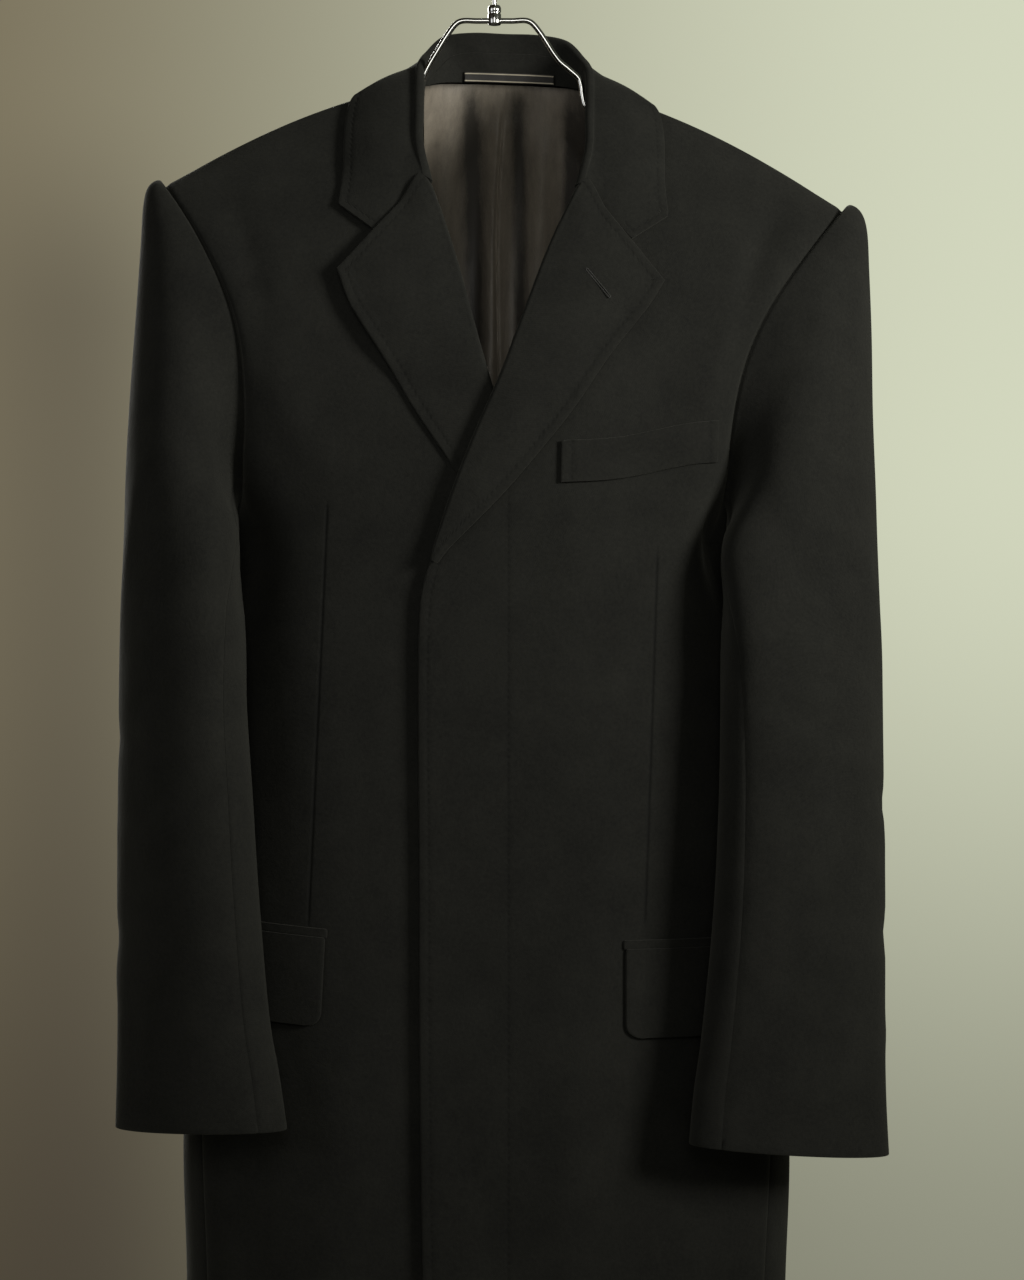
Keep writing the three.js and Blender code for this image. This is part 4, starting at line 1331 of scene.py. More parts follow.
@dataclass
class Lapel:
    """A lapel, rolled out over the front's edge from the facing behind it."""

    name: str
    table: Table
    bed: Bed
    rows: int = 96
    columns: int = 40
    wrap: int = 12
    thick: float = 2.0
    inside: float = -3.3  # the roll's last line, behind the panel's edge
    reach: float = 3.2  # how far the roll swells past the panel's edge
    head: float = 4.5  # how far its top runs on under the collar
    crest: float = 5.5  # how much higher the roll stands at the collar

    def lift(self, t: Array, z: Array, width: Array) -> Array:
        """Height of the lapel's face over the front.

        Args:
            t: Way out from the roll, 0, to the edge, 1.
            z: Height.
            width: Width of each row.

        Returns:
            The heights.
        """
        roll = np.sin(np.pi * np.minimum(1.0, t * 1.15)) * np.minimum(3.5, width * 0.05)
        if self.bed.over:
            return LIFT + roll
        proud = 4.0 * fade(0.35, 1.0, t) * fade(-345, -310, z)
        return mix(LIFT + roll, 2.6, fade(-300, -345, z)) + proud

    def build(self, material: bpy.types.Material) -> None:
        """Make the lapel and dress it.

        Args:
            material: What it is made of.
        """
        s = np.linspace(0, 9, self.rows)[:, None]
        rx, rz, ex, ez = (self.table.at(s, name) for name in ("rx", "rz", "ex", "ez"))
        width = np.hypot(ex - rx, ez - rz)
        t = np.linspace(0, 1, self.columns)[None, :]
        x, z = mix(rx, ex, t), mix(rz, ez, t)
        head = (1 - fade(0, 0.35, s)) * self.head
        near = 1 - fade(0, 0.32, t)
        x, z, rx, rz = x + 0.77 * head * near, z + 0.635 * head * near, rx + 0.77 * head, rz + 0.635 * head
        lift = self.lift(t, z, width) + self.crest * (1 - fade(0, 1.4, s)) * near
        face, back = self.bed.place(x, z, lift), self.bed.place(x, z, lift - self.thick)
        turn = np.radians(np.linspace(180, 0, self.wrap + 1)[:-1])[None, :]
        top = lift[:, :1]
        out_x, out_z = (rx - ex) / width, (rz - ez) / width
        small = np.minimum(1.0, width / 20.0)

        def bent(lo: float, hi: Array, swell: float) -> Array:
            """One side of the cloth round the roll, from inside to face.

            Args:
                lo: Height inside.
                hi: Height at the face.
                swell: How far it swells out.

            Returns:
                The points.
            """
            level = mix(lo, hi, 0.5 + 0.5 * np.cos(turn))
            push = swell * np.sin(turn) * small
            edge_x, edge_z = np.broadcast_to(rx, push.shape), np.broadcast_to(rz, push.shape)
            base = self.bed.place(edge_x, edge_z, level)
            moved = grid_of(rx + out_x * push, 0.0, rz + out_z * push)
            side = self.bed.side.value
            return base + hang(moved, side) - hang(grid_of(edge_x, 0.0, edge_z), side)

        outer = np.concatenate([bent(self.inside, top, self.reach), face], axis=1)
        inner = np.concatenate([bent(self.inside + 0.9, top - self.thick, 1.3), back], axis=1)
        marks = edge_marks(outer, "first_row", "last_col")
        shell = Shell(self.name, outer, inner, (FINISHED, FINISHED, CUT, CUT), marks)
        shell.sew(material, Slot.WOOL, "front_left" if self.bed.over else "front_right")


@dataclass
class Collar:
    """The collar's leaf and fold, its stand and the bare neck strip."""

    leaf_steps: int = 5
    swell: float = 3.2  # how far the leaf bellies out between fold and edge
    tuck: Point = (-0.396, 0.12, -0.918)  # way that its front end runs on, behind the lapel's roll
    tucks: tuple[float, ...] = (8.0, 8.0, 8.0, 8.0, 7.0, 5.0, 2.0)
    stand_thick: float = 1.9
    strip_x: float = 3.0  # middle of the neck strip
    strip_half: float = 32.0
    strip_rise: tuple[float, float] = (0.2, 7.0)  # its edges over the stand's foot
    strip_lift: float = 2.4  # height of its face over the stand's
    strip_thick: float = 0.9

    def frame(self, k: int) -> tuple[Array, Array, Array]:
        """Hub of the fold at one row of the neck, with its ways out and up.

        Args:
            k: The row's number in NECK.

        Returns:
            The hub and the two ways.
        """
        row, last = NECK[k], len(NECK) - 1
        before, after = NECK[max(0, k - 1)], NECK[min(last, k + 1)]
        run = np.subtract(after[:3], before[:3]).astype(float)
        if k == last:
            run = np.array([-1.0, 0.0, 0.0])
        run = unit(run)
        up = unit(np.array([0.0, 0.0, 1.0]) - run * run[2])
        out = unit(np.cross(up, run))
        if out[0] * row[0] + out[1] * (row[1] + 8) < 0:
            out = -out
        return np.array(row[:3], float) - up * CREST_R, out, up

    def leaf_edge(self, x: float, z: float, k: int) -> Array:
        """Outer edge of the leaf on the panel under it.

        Args:
            x: Distance out from the middle.
            z: Height.
            k: The row's number in NECK.

        Returns:
            The point, lifted off the panel.
        """
        if k == SHOULDER:
            return np.array([x, 0.0, upper(OVER_EDGE, -1, 1.0, x / armhole(0.0)[0])[2] + LIFT])
        edge, facing = (OVER_EDGE, -1) if k < SHOULDER else (BACK_EDGE, 1)
        base = np.array([x, float(surface_y(edge, facing, x, z)), z])
        if k < 2:
            return base - np.array([0.0, LIFT, 0.0])
        return base - inward(base) * (LIFT + 0.5)

    def row(self, k: int) -> tuple[list[Array], list[Array]]:
        """Face and back of the collar at one row: up the inside, over the fold, down the leaf.

        Args:
            k: The row's number in NECK.

        Returns:
            Points of the face, and of the back.
        """
        hub, out, up = self.frame(k)
        _, _, _, nx, _, nz, ox, oz, leg = NECK[k]
        face, back = [], []
        for down in (leg, leg * 0.5):
            p = hub - out * CREST_R - up * down
            face.append(p)
            back.append(p + out * LEAF)
        for degrees in (0, 45, 90, 135, 180):
            a = math.radians(degrees)
            way = up * math.sin(a) - out * math.cos(a)
            face.append(hub + way * CREST_R)
            back.append(hub + way * (CREST_R - LEAF))
        start = face[-1]
        part = 0 if k < SHOULDER else 1 if k == SHOULDER else 2  # front, shoulder or back
        for j in range(1, self.leaf_steps + 1):
            t = j / self.leaf_steps
            if k == 0:
                if j <= 3:
                    x, z = mix(nx, NOTCH[0], j / 3), mix(nz, NOTCH[1], j / 3)
                else:
                    x, z = mix(NOTCH[0], ox, (j - 3) / 2), mix(NOTCH[1], oz, (j - 3) / 2)
                p = self.leaf_edge(x, z - 0.1, 0)
            else:
                swell = ((0, -0.85, 0.5), (0, 0, 1), (0.1, 0.75, 0.65))[part]
                belly = np.array(swell) * self.swell * math.sin(math.pi * t)
                p = mix(start, self.leaf_edge(ox, oz, k), t) + belly
            way = ((-0.15, 0.9, -0.4), (-0.1, 0, -1), (-0.1, -0.9, -0.4))[part]
            face.append(p)
            back.append(p + unit(np.array(way, float)) * LEAF)
        if k == 0:
            for j, far in enumerate(self.tucks):
                shift = np.array(self.tuck) * far
                face[j], back[j] = face[j] + shift, back[j] + shift
        return face, back

    def stand_row(self, k: int) -> tuple[list[Array], list[Array]]:
        """Face and back of the stand at one row, from the collar's inner seam down to the neck seam.

        Args:
            k: The row's number in NECK.

        Returns:
            Points of the face, and of the back.
        """
        hub, out, up = self.frame(k)
        row = NECK[k]
        top = hub - out * CREST_R - up * (row[8] + 2 * SEAM)
        level = unit(np.array([out[0], out[1], 0.0]))
        bottom = np.array([row[3], row[4], row[5] + 0.6]) - level * 3.6
        face = [top, (top + bottom) / 2, bottom]
        return face, [p + level * self.stand_thick for p in face]

    def mirrored(self, made: Callable[[int], tuple[list[Array], list[Array]]]) -> tuple[Array, Array]:
        """Hung coarse grids of face and back, from the wearer's right gorge to the left one.

        Args:
            made: Makes the points of one row of the wearer's side.

        Returns:
            Points of the face, and of the back.
        """
        last = len(NECK) - 1
        face, back = [], []
        for k in range(2 * last + 1):
            side = -1 if k <= last else 1
            f, b = made(k if k <= last else 2 * last - k)
            face.append(hang(np.array(f), side))
            back.append(hang(np.array(b), side))
        return np.array(face), np.array(back)

    def build(self, material: bpy.types.Material) -> None:
        """Make the collar and its stand.

        Args:
            material: What it is made of.
        """
        face, back = self.mirrored(self.row)
        outer, inner = refine(face, (200, 90), 5), refine(back, (200, 90), 5)
        marks = edge_marks(outer, "last_col")
        notch = edge_marks(outer, "first_row", "last_row")
        wide = lengths(outer, 1)
        near = (notch["stitch"] < marks["stitch"]) & (wide[:, -1:] - wide < 38)
        marks["stitch"] = np.where(near, notch["stitch"], marks["stitch"])
        marks["run"] = np.where(near, notch["run"], marks["run"])
        shell = Shell("collar", outer, inner, (CUT, FINISHED, CUT, CUT), marks)
        shell.sew(material, Slot.WOOL, "front_left", "front_right", "back_left", "back_right")
        face, back = self.mirrored(self.stand_row)
        outer, inner = refine(face, (150, 14)), refine(back, (150, 14))
        shell = Shell("collar_stand", outer, inner, (CUT, CUT, CUT, CUT), plain_marks(outer.shape[:2]))
        shell.sew(material, Slot.WOOL, "back_left", "back_right")

    def build_strip(self, material: bpy.types.Material) -> None:
        """Make the woven strip on the stand.

        Args:
            material: What it is made of.
        """
        last = len(NECK) - 1
        rows = [self.stand_row(k)[0] for k in range(last, SHOULDER - 1, -1)]
        foot = Table("x y z ty tz", [(p[2][0], p[2][1], p[2][2], p[0][1], p[0][2]) for p in rows])
        x = (self.strip_x + np.linspace(-self.strip_half, self.strip_half, 81))[:, None]
        a = np.abs(x)
        rise = np.linspace(*self.strip_rise, 15)[None, :]
        z, y = foot.at(a, "z"), foot.at(a, "y")
        t = rise / (foot.at(a, "tz") - z)
        p = grid_of(x, mix(y, foot.at(a, "ty"), t), z + rise)
        way = unit(grid_of(-x * 0.012, -1.0, 0.0 * x))
        under = self.strip_lift - self.strip_thick
        outer, inner = hang(p + way * self.strip_lift, 1), hang(p + way * under, 1)
        marks = {"across": np.broadcast_to(rise, outer.shape[:2])}
        shell = Shell("neck_tape", outer, inner, (0.3, 0.3, 0.3, 0.3), marks)
        shell.sew(material, Slot.RIBBON, "collar_stand")


@dataclass
class BackLining:
    """Satin hanging inside the back, with its centre pleat, uneven soft folds and painted shade."""

    half: float = 57.0
    bottom: float = -430.0
    thick: float = 1.2
    rows: int = 110
    columns: int = 170

    def depth(self, x: Array, z: Array) -> Array:
        """Depth of the satin at places seen from the front.

        Args:
            x: Distance out from the middle.
            z: Height.

        Returns:
            The depths.
        """
        open_ = fade(-112, -165, z)
        centre = mix(-3.0, -9.0, fade(-110, -330, z))
        folds = 6.0 * bell(x - centre, 9.0) + 5.0 * bell(x - centre - 31, 9.5)
        folds = folds + 4.0 * bell(x - centre + 38, 10)
        ripple = 0.3 * np.sin(0.30 * x + 0.012 * z + 0.8 * np.sin(0.021 * z)) * fade(-150, -260, z)
        ripple = ripple - 2.2 * bell(x - centre - 3.0 - 3.0 * np.sin(0.022 * (z + 120)), 1.4)
        top = NECK_SEAM.at(np.abs(x), "z")
        held = NECK_SEAM.at(np.abs(x), "y") - 4.0 + 0.3 * (top - z) + 0.01 * (top - z) ** 2
        free = surface_y(BACK_EDGE, 1, np.abs(x), z) - 4.4
        nearer = held - 3.0 * np.logaddexp(0.0, (held - free) / 3.0)
        return nearer - open_ * (folds + ripple)

    def painted_shade(self, x: Array, z: Array) -> Array:
        """How deep in painted shade each place lies, from 0 to 1: in the folds, just under the neck seam and
        low down.

        Args:
            x: Distance out from the middle.
            z: Height.

        Returns:
            The shares.
        """
        drift = 0.028 * (z + 230)
        # Painted shade along the hollows of two folds and at the right side.
        dark = bell(x + 21 + drift, 7.5) + 0.9 * bell(x - 12 + drift, 5.5) + 0.85 * fade(38, 47, x)
        dark = np.minimum(1.0, dark) * fade(-96, -150, z)
        rim = NECK_SEAM.at(np.abs(x), "z") - z
        # Painted shade just under the neck seam and lower down inside the coat.
        return np.maximum(np.maximum(dark, 0.75 * bell(rim, 3.0)), 0.6 * fade(-300, -400, z))

    def build(self, material: bpy.types.Material) -> None:
        """Make the lining and dress it.

        Args:
            material: What it is made of.
        """
        x = np.linspace(-self.half, self.half, self.columns)[None, :]
        top = NECK_SEAM.at(np.abs(x), "z") - 1.2
        z = mix(top, self.bottom, (np.linspace(0, 1, self.rows) ** 1.25)[:, None])
        x = np.broadcast_to(x, z.shape)
        y = self.depth(x, z)
        outer, inner = hang(grid_of(x, y, z), 1), hang(grid_of(x, y + self.thick, z), 1)
        shell = Shell("lining_back", outer, inner, (0.15, 0.4, 0.4, 0.4), {"painted_shade": self.painted_shade(x, z)})
        shell.sew(material, Slot.SATIN, "back_left", "back_right")


@dataclass
class Pockets:
    """The breast welt, and the flaps and jets of the side pockets."""

    z: float = -711.0
    slant: float = 0.05
    turn: float = 140.0
    jet: float = 5.5  # height of a jet
    jet_lift: float = 2.6  # height of its face over the cloth
    jet_thick: float = 1.9
    drop: float = 66.0  # how far the flaps hang under the pocket's line
    corner: float = 9.0  # radius of their corners
    flap_lift: float = 3.4
    flap_thick: float = 2.5
    welt_x: tuple[float, float] = (42.0, 148.0)  # its two ends
    welt_z: tuple[float, float] = (-377.0, -358.5)  # its top there
    welt_height: float = 27.5
    welt_lift: float = 2.7
    welt_under: float = 0.8  # height of its back over the cloth

    def welt(self, material: bpy.types.Material) -> None:
        """Make the breast welt.

        Args:
            material: What it is made of.
        """
        s = np.linspace(0, 1, 80)[None, :]
        t = np.linspace(0, 1, 24)[:, None]
        sway = 1.6 * np.sin(2 * math.pi * (s - 0.1))
        x = np.broadcast_to(mix(*self.welt_x, s), (24, 80))
        z = mix(*self.welt_z, s) - sway - t * self.welt_height
        outer = LEFT_BED.place(x, z, np.full(x.shape, self.welt_lift))
        inner = LEFT_BED.place(x, z, np.full(x.shape, self.welt_under))
        marks = edge_marks(outer, "first_col", "last_col")
        wide = lengths(outer, 1)
        right = wide[:, -1:] - wide < wide
        marks["stitch"] = np.where(right, wide[:, -1:] - wide - 6.2, wide - 6.6)
        shell = Shell("breast_welt", outer, inner, (0.6, 0.5, CUT, 0.5), marks)
        shell.sew(material, Slot.WOOL, "front_left")

    def patch(
        self, name: str, side: Side, inner_x: float, run: Array, drop: Array, lift: float, thick: float,
        material: bpy.types.Material,
    ) -> None:
        """Make one patch that goes round the side of the body.

        Args:
            name: The piece and the node that it stands for.
            side: The wearer's side.
            inner_x: Where the patch starts, from the middle.
            run: Distance of each point along from the inner end.
            drop: How far each point lies under the pocket's line.
            lift: Height of the face over the cloth.
            thick: Thickness of the patch.
            material: What it is made of.
        """
        start = float(angle_at(inner_x / BODY.at(self.z, "half")))
        z = self.z + self.slant * run - drop
        angle = start + run / self.turn
        p = lower(angle, z)
        a, b = lower(angle - 0.01, z), lower(angle + 0.01, z)
        way = unit(grid_of(b[..., 1] - a[..., 1], a[..., 0] - b[..., 0], 0.0 * z))
        if side is Side.LEFT:
            p[..., 1] -= overlap(p[..., 0], p[..., 2])
        outer, inner = hang(p + way * lift, side.value), hang(p + way * (lift - thick), side.value)
        bulges = (CUT, FINISHED, FINISHED, FINISHED)
        shell = Shell(name, outer, inner, bulges, plain_marks(outer.shape[:2]))
        shell.sew(material, Slot.WOOL, "front_left" if side is Side.LEFT else "front_right")

    def build(self, material: bpy.types.Material) -> None:
        """Make all the pockets' pieces.

        Args:
            material: What it is made of.
        """
        self.welt(material)
        low = self.drop - self.corner
        down = np.concatenate([
            np.linspace(self.jet + 0.4, low, 30)[:-1],
            low + self.corner * np.sin(np.linspace(0, math.pi / 2, 12)),
        ])[:, None]
        into = np.maximum(0.0, down - low)
        cut = 0.9 * (self.corner - np.sqrt(np.maximum(0.0, self.corner**2 - into**2)))
        s = np.linspace(0, 1, 70)[None, :]
        for side, inner_x, length in ((Side.LEFT, 92.0, 122.0), (Side.RIGHT, 111.5, 108.0)):
            run = mix(cut, length - cut, s)
            drop = np.broadcast_to(down, run.shape)
            name = side.name.lower()
            self.patch("flap_" + name, side, inner_x, run, drop, self.flap_lift, self.flap_thick, material)
            run = np.broadcast_to(mix(-1.0, length + 1.0, s), (6, 70))
            drop = np.broadcast_to(np.linspace(0, self.jet, 6)[:, None], run.shape)
            self.patch("jet_" + name, side, inner_x, run, drop, self.jet_lift, self.jet_thick, material)


@dataclass(frozen=True)
class Buttonhole:
    """Hand-worked hole in the wearer's left lapel, as one ring of purl stitches."""

    start: tuple[float, float] = (57.4, -258.2)
    end: tuple[float, float] = (72.6, -276.2)
    spread: float = 0.7
    thread: float = 0.40
    pitch: float = 0.95
    height: float = 8.1

    def build(self, material: bpy.types.Material) -> None:
        """Make the ring of stitches and dress it.

        Args:
            material: What it is made of.
        """
        a, b = np.array(self.start), np.array(self.end)
        ahead = (b - a) / np.linalg.norm(b - a)
        aside = np.array([-ahead[1], ahead[0]])
        side = np.linspace(0, 1, 70)[:, None]
        bend = np.radians(np.linspace(-90, 90, 12))[1:-1, None]
        loop = np.concatenate([
            mix(a, b, side) - aside * self.spread,
            b + ahead * self.spread * np.cos(bend) + aside * self.spread * np.sin(bend),
            mix(b, a, side) + aside * self.spread,
            a - ahead * self.spread * np.cos(bend) - aside * self.spread * np.sin(bend),
        ])
        base = LEFT_BED.place(loop[:, 0], loop[:, 1], np.full(len(loop), self.height))
        run = np.cumsum(np.linalg.norm(np.roll(base, 1, 0) - base, axis=1))
        knot = self.thread * (1.0 + 0.28 * np.cos(run * 2 * math.pi / self.pitch))
        ahead3 = unit(np.roll(base, -1, 0) - np.roll(base, 1, 0))
        out = np.broadcast_to(np.array([0.0, -1.0, 0.0]), base.shape)
        side3 = unit(np.cross(ahead3, out))
        turns = np.radians(np.arange(0, 360, 45))
        lines = [base + knot[:, None] * (side3 * math.cos(q) + out * math.sin(q)) for q in turns]
        dress(tube("lapel_buttonhole", np.stack(lines, axis=1)), material, Slot.WOOL)


def curve_through(points: Sequence[Sequence[float]], count: int) -> Array:
    """Smooth even curve through points, by the distance run between them.

    Args:
        points: The points.
        count: How many are wanted.

    Returns:
        The curve's points.
    """
    p = np.array(points, float)
    run = np.concatenate([[0.0], np.cumsum(np.linalg.norm(np.diff(p, axis=0), axis=1))])
    table = Table("run x y z", np.column_stack([run, p]))
    places = np.linspace(0, run[-1], count)
    return np.column_stack([table.at(places, name) for name in "xyz"])


def wire(name: str, line: Array, radius: float, sides: int = 18) -> bpy.types.Object:
    """Round wire with domed ends along a line of points.

    Args:
        name: The piece's name.
        line: Points of its middle.
        radius: Its radius in millimetres.
        sides: Points round it.

    Returns:
        The object.
    """
    ahead = unit(np.gradient(line, axis=0))
    across = unit(np.cross(ahead, np.array([0.0, 1.0, 0.0])))
    third = np.cross(across, ahead)
    dome = np.radians(np.array([80, 60, 40, 20]))
    first = [(line[0] - ahead[0] * radius * math.sin(d), 0, radius * math.cos(d)) for d in dome]
    final = [(line[-1] + ahead[-1] * radius * math.sin(d), -1, radius * math.cos(d)) for d in dome[::-1]]
    stations = first + [(p, k, radius) for k, p in enumerate(line)] + final
    turns = np.radians(np.arange(sides) * 360 / sides)[:, None]
    rings = [centre + r * (across[k] * np.cos(turns) + third[k] * np.sin(turns)) for centre, k, r in stations]
    return tube(name, rings, [line[0] - ahead[0] * radius, line[-1] + ahead[-1] * radius])


@dataclass
class Hanger:
    """One bent wire, a ferrule round the middle of its bar, and the hook over it."""

    stations: tuple[float, ...] = (188, 160, 132, 104, 84)  # x of the wire's points under each shoulder
    bends: tuple[Point, ...] = (
        (-66, 0.4, -137.5), (-60.5, 0.2, -137.4), (-55.5, 0, -134.6), (-52.6, 0, -129.5), (-51.0, 0, -121),
        (-47.4, 0, -112), (-42.6, 0, -103.5), (-30, 0, -83.5), (-24, 0, -78.3), (-12, 0, -78),
        (12, 0, -78), (24, 0, -78.2), (31, 0, -85), (44.5, 0, -105), (52.8, 0, -112.4), (59.0, 0, -118.2),
        (60.8, 0, -124), (61.6, 0, -130.5), (64.5, 0.1, -139.2), (71, 0.3, -142.8), (80, 0.5, -142.3),
    )
    wire_r: float = 2.0
    hook_bore: float = 16.0
    hook_r: float = 1.5
    hook_turns: tuple[float, ...] = (-50, -25, 0, 25, 50, 75, 90, 105, 130, 155, 180, 200)
    ferrule_sides: int = 36
    ferrule_outline: tuple[tuple[float, float], ...] = (
        (0, -81), (3.4, -81), (4.1, -80.8), (4.55, -80.2), (4.6, -79.5), (4.6, -73.6), (4.45, -73.2),
        (4.2, -72.9), (4.2, -72.2), (4.45, -71.9), (4.6, -71.5), (4.6, -69.3), (4.4, -68.5), (3.9, -67.5),
        (3.4, -67.1), (2.6, -67.0), (2.4, -67.2), (1.8, -67.3), (0, -67.3),
    )

    def under_shoulder(self, x: float, side: int) -> Array:
        """Point of the wire under a shoulder."""
        z = upper(OVER_EDGE, -1, 1.0, x / armhole(0.0)[0])[2] - 6.3
        return hang(np.array([x, 0.7, float(z)]), side)

    def build(self, material: bpy.types.Material) -> None:
        """Make the hanger's three pieces.

        Args:
            material: What it is made of.
        """
        arms = [[self.under_shoulder(x, side) for x in self.stations] for side in (-1, 1)]
        path = [*arms[0], *self.bends, *arms[1][::-1]]
        piece = wire("hanger_wire", curve_through(path, 420), self.wire_r)
        dress(piece, material, Slot.CHROME, "hanger_wire")
        line = self.hook_bore + self.hook_r
        path = [(0, 0, -66.7), (0, 0, -54), (1, 0, -43), (6.5, 0, -36)]
        for a in map(math.radians, self.hook_turns):
            path.append((line * math.cos(a), 0, -self.hook_bore + line * math.sin(a)))
        piece = wire("hanger_hook", curve_through(path, 200), self.hook_r)
        dress(piece, material, Slot.CHROME, "hanger_hook")
        self.ferrule(material)

    def ferrule(self, material: bpy.types.Material) -> None:
        """Make the turned ferrule with its rolled lip and crimp.

        Args:
            material: What it is made of.
        """
        turns = np.radians(np.arange(self.ferrule_sides) * 360 / self.ferrule_sides)
        first, *inside, last = self.ferrule_outline
        rings = [grid_of(r * np.cos(turns), r * np.sin(turns), z) for r, z in inside]
        piece = tube("hanger_ferrule", rings, [(0, 0, first[1]), (0, 0, last[1])], 35.0)
        dress(piece, material, Slot.CHROME, "hanger_ferrule")


@dataclass(frozen=True)
class Lamp:
    """A square area light. Places and size are in metres, its spread is in degrees."""

    name: str
    place: Point
    aim: Point
    size: float
    watts: float
    tint: Colour
    spread: float

    def build(self) -> None:
        """Add the light."""
        lamp = bpy.data.lights.new(self.name, "AREA")
        lamp.size, lamp.energy, lamp.color = self.size, self.watts, self.tint
        lamp.spread = math.radians(self.spread)
        rig = bpy.data.objects.new(self.name, lamp)
        rig.location = self.place
        rig.rotation_euler = (Vector(self.aim) - Vector(self.place)).to_track_quat("-Z", "Y").to_euler()
        bpy.context.scene.collection.objects.link(rig)


LAMPS = (
    Lamp("key", (1.9, -1.35, 0.12), (0.05, 0.0, -0.16), 0.62, 4.9, (1.0, 0.985, 0.93), 60.0),
    Lamp("front", (0.0, -2.3, 0.25), (0.0, 0.0, -0.22), 0.9, 0.75, (1.0, 0.99, 0.95), 56.0),
    Lamp("left", (-1.9, -1.6, 0.0), (0.0, 0.0, -0.35), 1.2, 1.9, (0.97, 0.98, 1.0), 100.0),
    Lamp("back", (-0.9, 2.6, 0.3), (0.0, 0.0, -0.6), 1.4, 13.0, (1.0, 0.99, 0.95), 90.0),
)


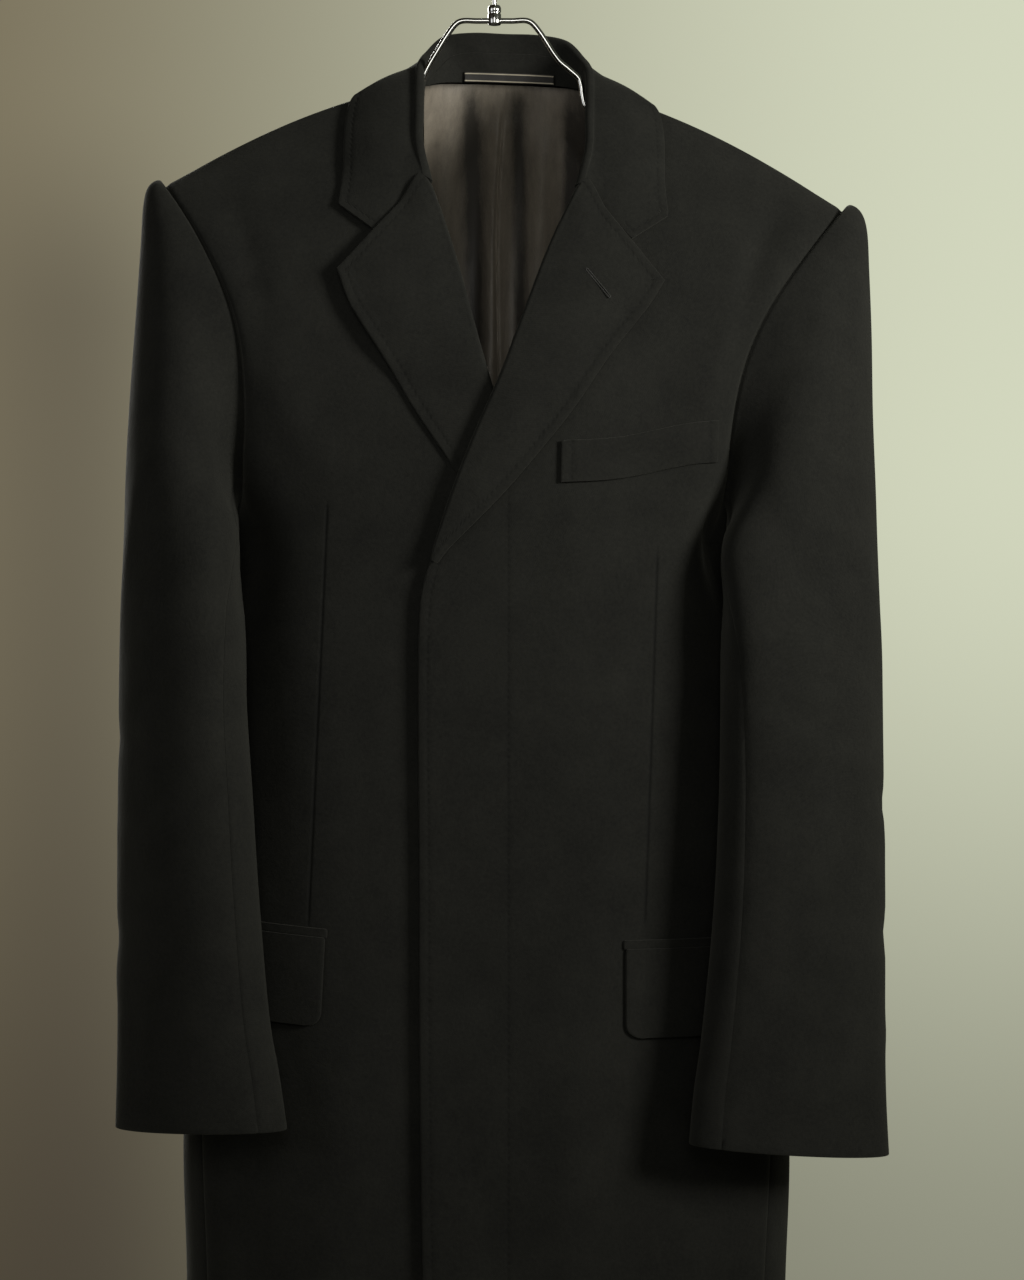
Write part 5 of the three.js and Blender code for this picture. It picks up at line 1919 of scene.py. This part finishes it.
@dataclass(frozen=True)
class Studio:
    """Backdrop, floor, lights and camera."""

    plane: float = 2.5  # metres from the lens to the coat
    pixel: float = 0.0007  # metres a pixel of the picture stands for, at the coat
    picture_height: int = 1280
    centre: tuple[float, float] = (0.01225, -0.5113)  # x and z in the picture's middle
    floor_z: float = -1.30
    floor_r: float = 1.6
    floor_thick: float = 0.02
    ambient: float = 0.10  # share of the backdrop's brightness that lights the coat
    # left and right: the backdrop is paler to the right, where the key lamp stands, in painted light.
    left: Colour = (0.200, 0.172, 0.110)
    right: Colour = (0.645, 0.675, 0.515)
    low: Colour = (0.41, 0.395, 0.39)
    shade: Colour = (0.040, 0.030, 0.026)  # colour of the coat's soft shadow, painted on the backdrop at the left

    def backdrop(self) -> None:
        """Olive-grey backdrop, paler to the right in painted light, darker low down, with the coat's soft
        shadow painted at the left.
        """
        world = bpy.data.worlds.new("backdrop")
        bpy.context.scene.world = world
        g = Graph(world)
        parts = g.add("ShaderNodeSeparateXYZ", Vector=g.add("ShaderNodeTexCoord").outputs["Generated"])
        across, up = parts.outputs["X"], parts.outputs["Z"]

        def stretch(
            value: Any, settings: dict[str, Any] | None = None, **ends: float
        ) -> bpy.types.NodeSocket:
            """Value moved from one range to another."""
            return g.add("ShaderNodeMapRange", settings, Value=value, **ends).outputs["Result"]

        def blend(share: Any, first: Any, last: Any, way: str = "MIX") -> bpy.types.NodeSocket:
            """Blend of two colours."""
            settings = {"data_type": "RGBA", "blend_type": way}
            return g.add("ShaderNodeMix", settings, Factor=share, A=first, B=last).outputs["Result"]

        # Painted light: paler from left to right.
        wide = stretch(across, From_Min=-0.17, From_Max=0.15)
        wide = g.ramp(wide, (0.0, self.left), (1.0, self.right), "EASE")
        high = stretch(up, From_Min=-0.20, From_Max=0.06)
        high = g.ramp(high, (0.0, self.low), (1.0, (1.0, 1.0, 1.0)), "EASE")
        # Painted shadow of the coat: a soft dark band at the left, fading out high up.
        painted_shadow = g.hump(g.math("ADD", across, 0.121), 0.034)
        top = stretch(up, {"interpolation_type": "SMOOTHSTEP"}, From_Min=0.155, From_Max=0.085, To_Max=0.42)
        tone = blend(g.math("MULTIPLY", painted_shadow, top), blend(1.0, wide, high, "MULTIPLY"), (*self.shade, 1))
        seen = g.add("ShaderNodeLightPath").outputs["Is Camera Ray"]
        shade = g.add("ShaderNodeBackground", Color=tone, Strength=stretch(seen, To_Min=self.ambient))
        g.add("ShaderNodeOutputWorld", Surface=shade.outputs["Background"])

    def floor(self) -> None:
        """Plain pale round floor under the coat."""
        g = Finish("studio_floor")
        tone = g.noise(9.0, 4.0, 0.6)
        g.set(Base_Color=g.ramp(tone, (0.3, (0.50, 0.49, 0.42)), (0.7, (0.56, 0.55, 0.48))), Roughness=0.9)
        turns, r = np.radians(np.arange(0, 360, 5)), self.floor_r / MM
        levels = (self.floor_z / MM, (self.floor_z - self.floor_thick) / MM)
        rings = [grid_of(r * np.cos(turns), r * np.sin(turns), z) for z in levels]
        disc = tube("studio_floor", rings, [(0, 0, z) for z in levels], 30.0)
        disc.data.materials.append(g.material)

    def camera(self) -> None:
        """Add the camera, level and square to the coat."""
        data = bpy.data.cameras.new("camera")
        data.sensor_width = 36.0
        data.lens = data.sensor_width * self.plane / (self.picture_height * self.pixel)
        data.clip_start, data.clip_end = 0.05, 50.0
        rig = bpy.data.objects.new("camera", data)
        rig.location = (self.centre[0], -self.plane, self.centre[1])
        rig.rotation_euler = (math.pi / 2, 0.0, 0.0)
        bpy.context.scene.collection.objects.link(rig)
        bpy.context.scene.camera = rig
        bpy.context.scene.view_settings.view_transform = "Standard"

    def build(self) -> None:
        """Set up everything round the coat."""
        self.backdrop()
        self.floor()
        for lamp in LAMPS:
            lamp.build()
        self.camera()


def main() -> None:
    """Build the coat on its hanger and the studio round it."""
    logging.basicConfig(level=logging.INFO, format="%(message)s")
    Studio().build()
    wool, satin, ribbon = Wool().build(), Satin().build(), Ribbon().build()
    chrome, thread = Chrome().build(), Thread().build()
    for panel in (
        BodyPanel("front_left", OVER_EDGE, -1, Side.LEFT, True, FRONT_LEFT_CREASES),
        BodyPanel("front_right", UNDER_EDGE, -1, Side.RIGHT, False, FRONT_RIGHT_CREASES),
        BodyPanel("back_left", BACK_EDGE, 1, Side.LEFT, False, BACK_CREASES),
        BodyPanel("back_right", BACK_EDGE, 1, Side.RIGHT, False, BACK_CREASES),
    ):
        panel.build(wool)
    for side, creases in ((Side.LEFT, LEFT_SLEEVE_CREASES), (Side.RIGHT, RIGHT_SLEEVE_CREASES)):
        word = side.name.lower()
        SleevePanel("sleeve_top_" + word, side, -115.2, 135.0, creases).build(wool)
        SleevePanel("sleeve_under_" + word, side, 135.0, 244.8, creases, columns=30).build(wool)
    Lapel("lapel_left", OVER_LAPEL, LEFT_BED).build(wool)
    Lapel("lapel_right", UNDER_LAPEL, RIGHT_BED).build(wool)
    collar = Collar()
    collar.build(wool)
    collar.build_strip(ribbon)
    BackLining().build(satin)
    Pockets().build(wool)
    Buttonhole().build(thread)
    Hanger().build(chrome)


if __name__ == "__main__":
    main()
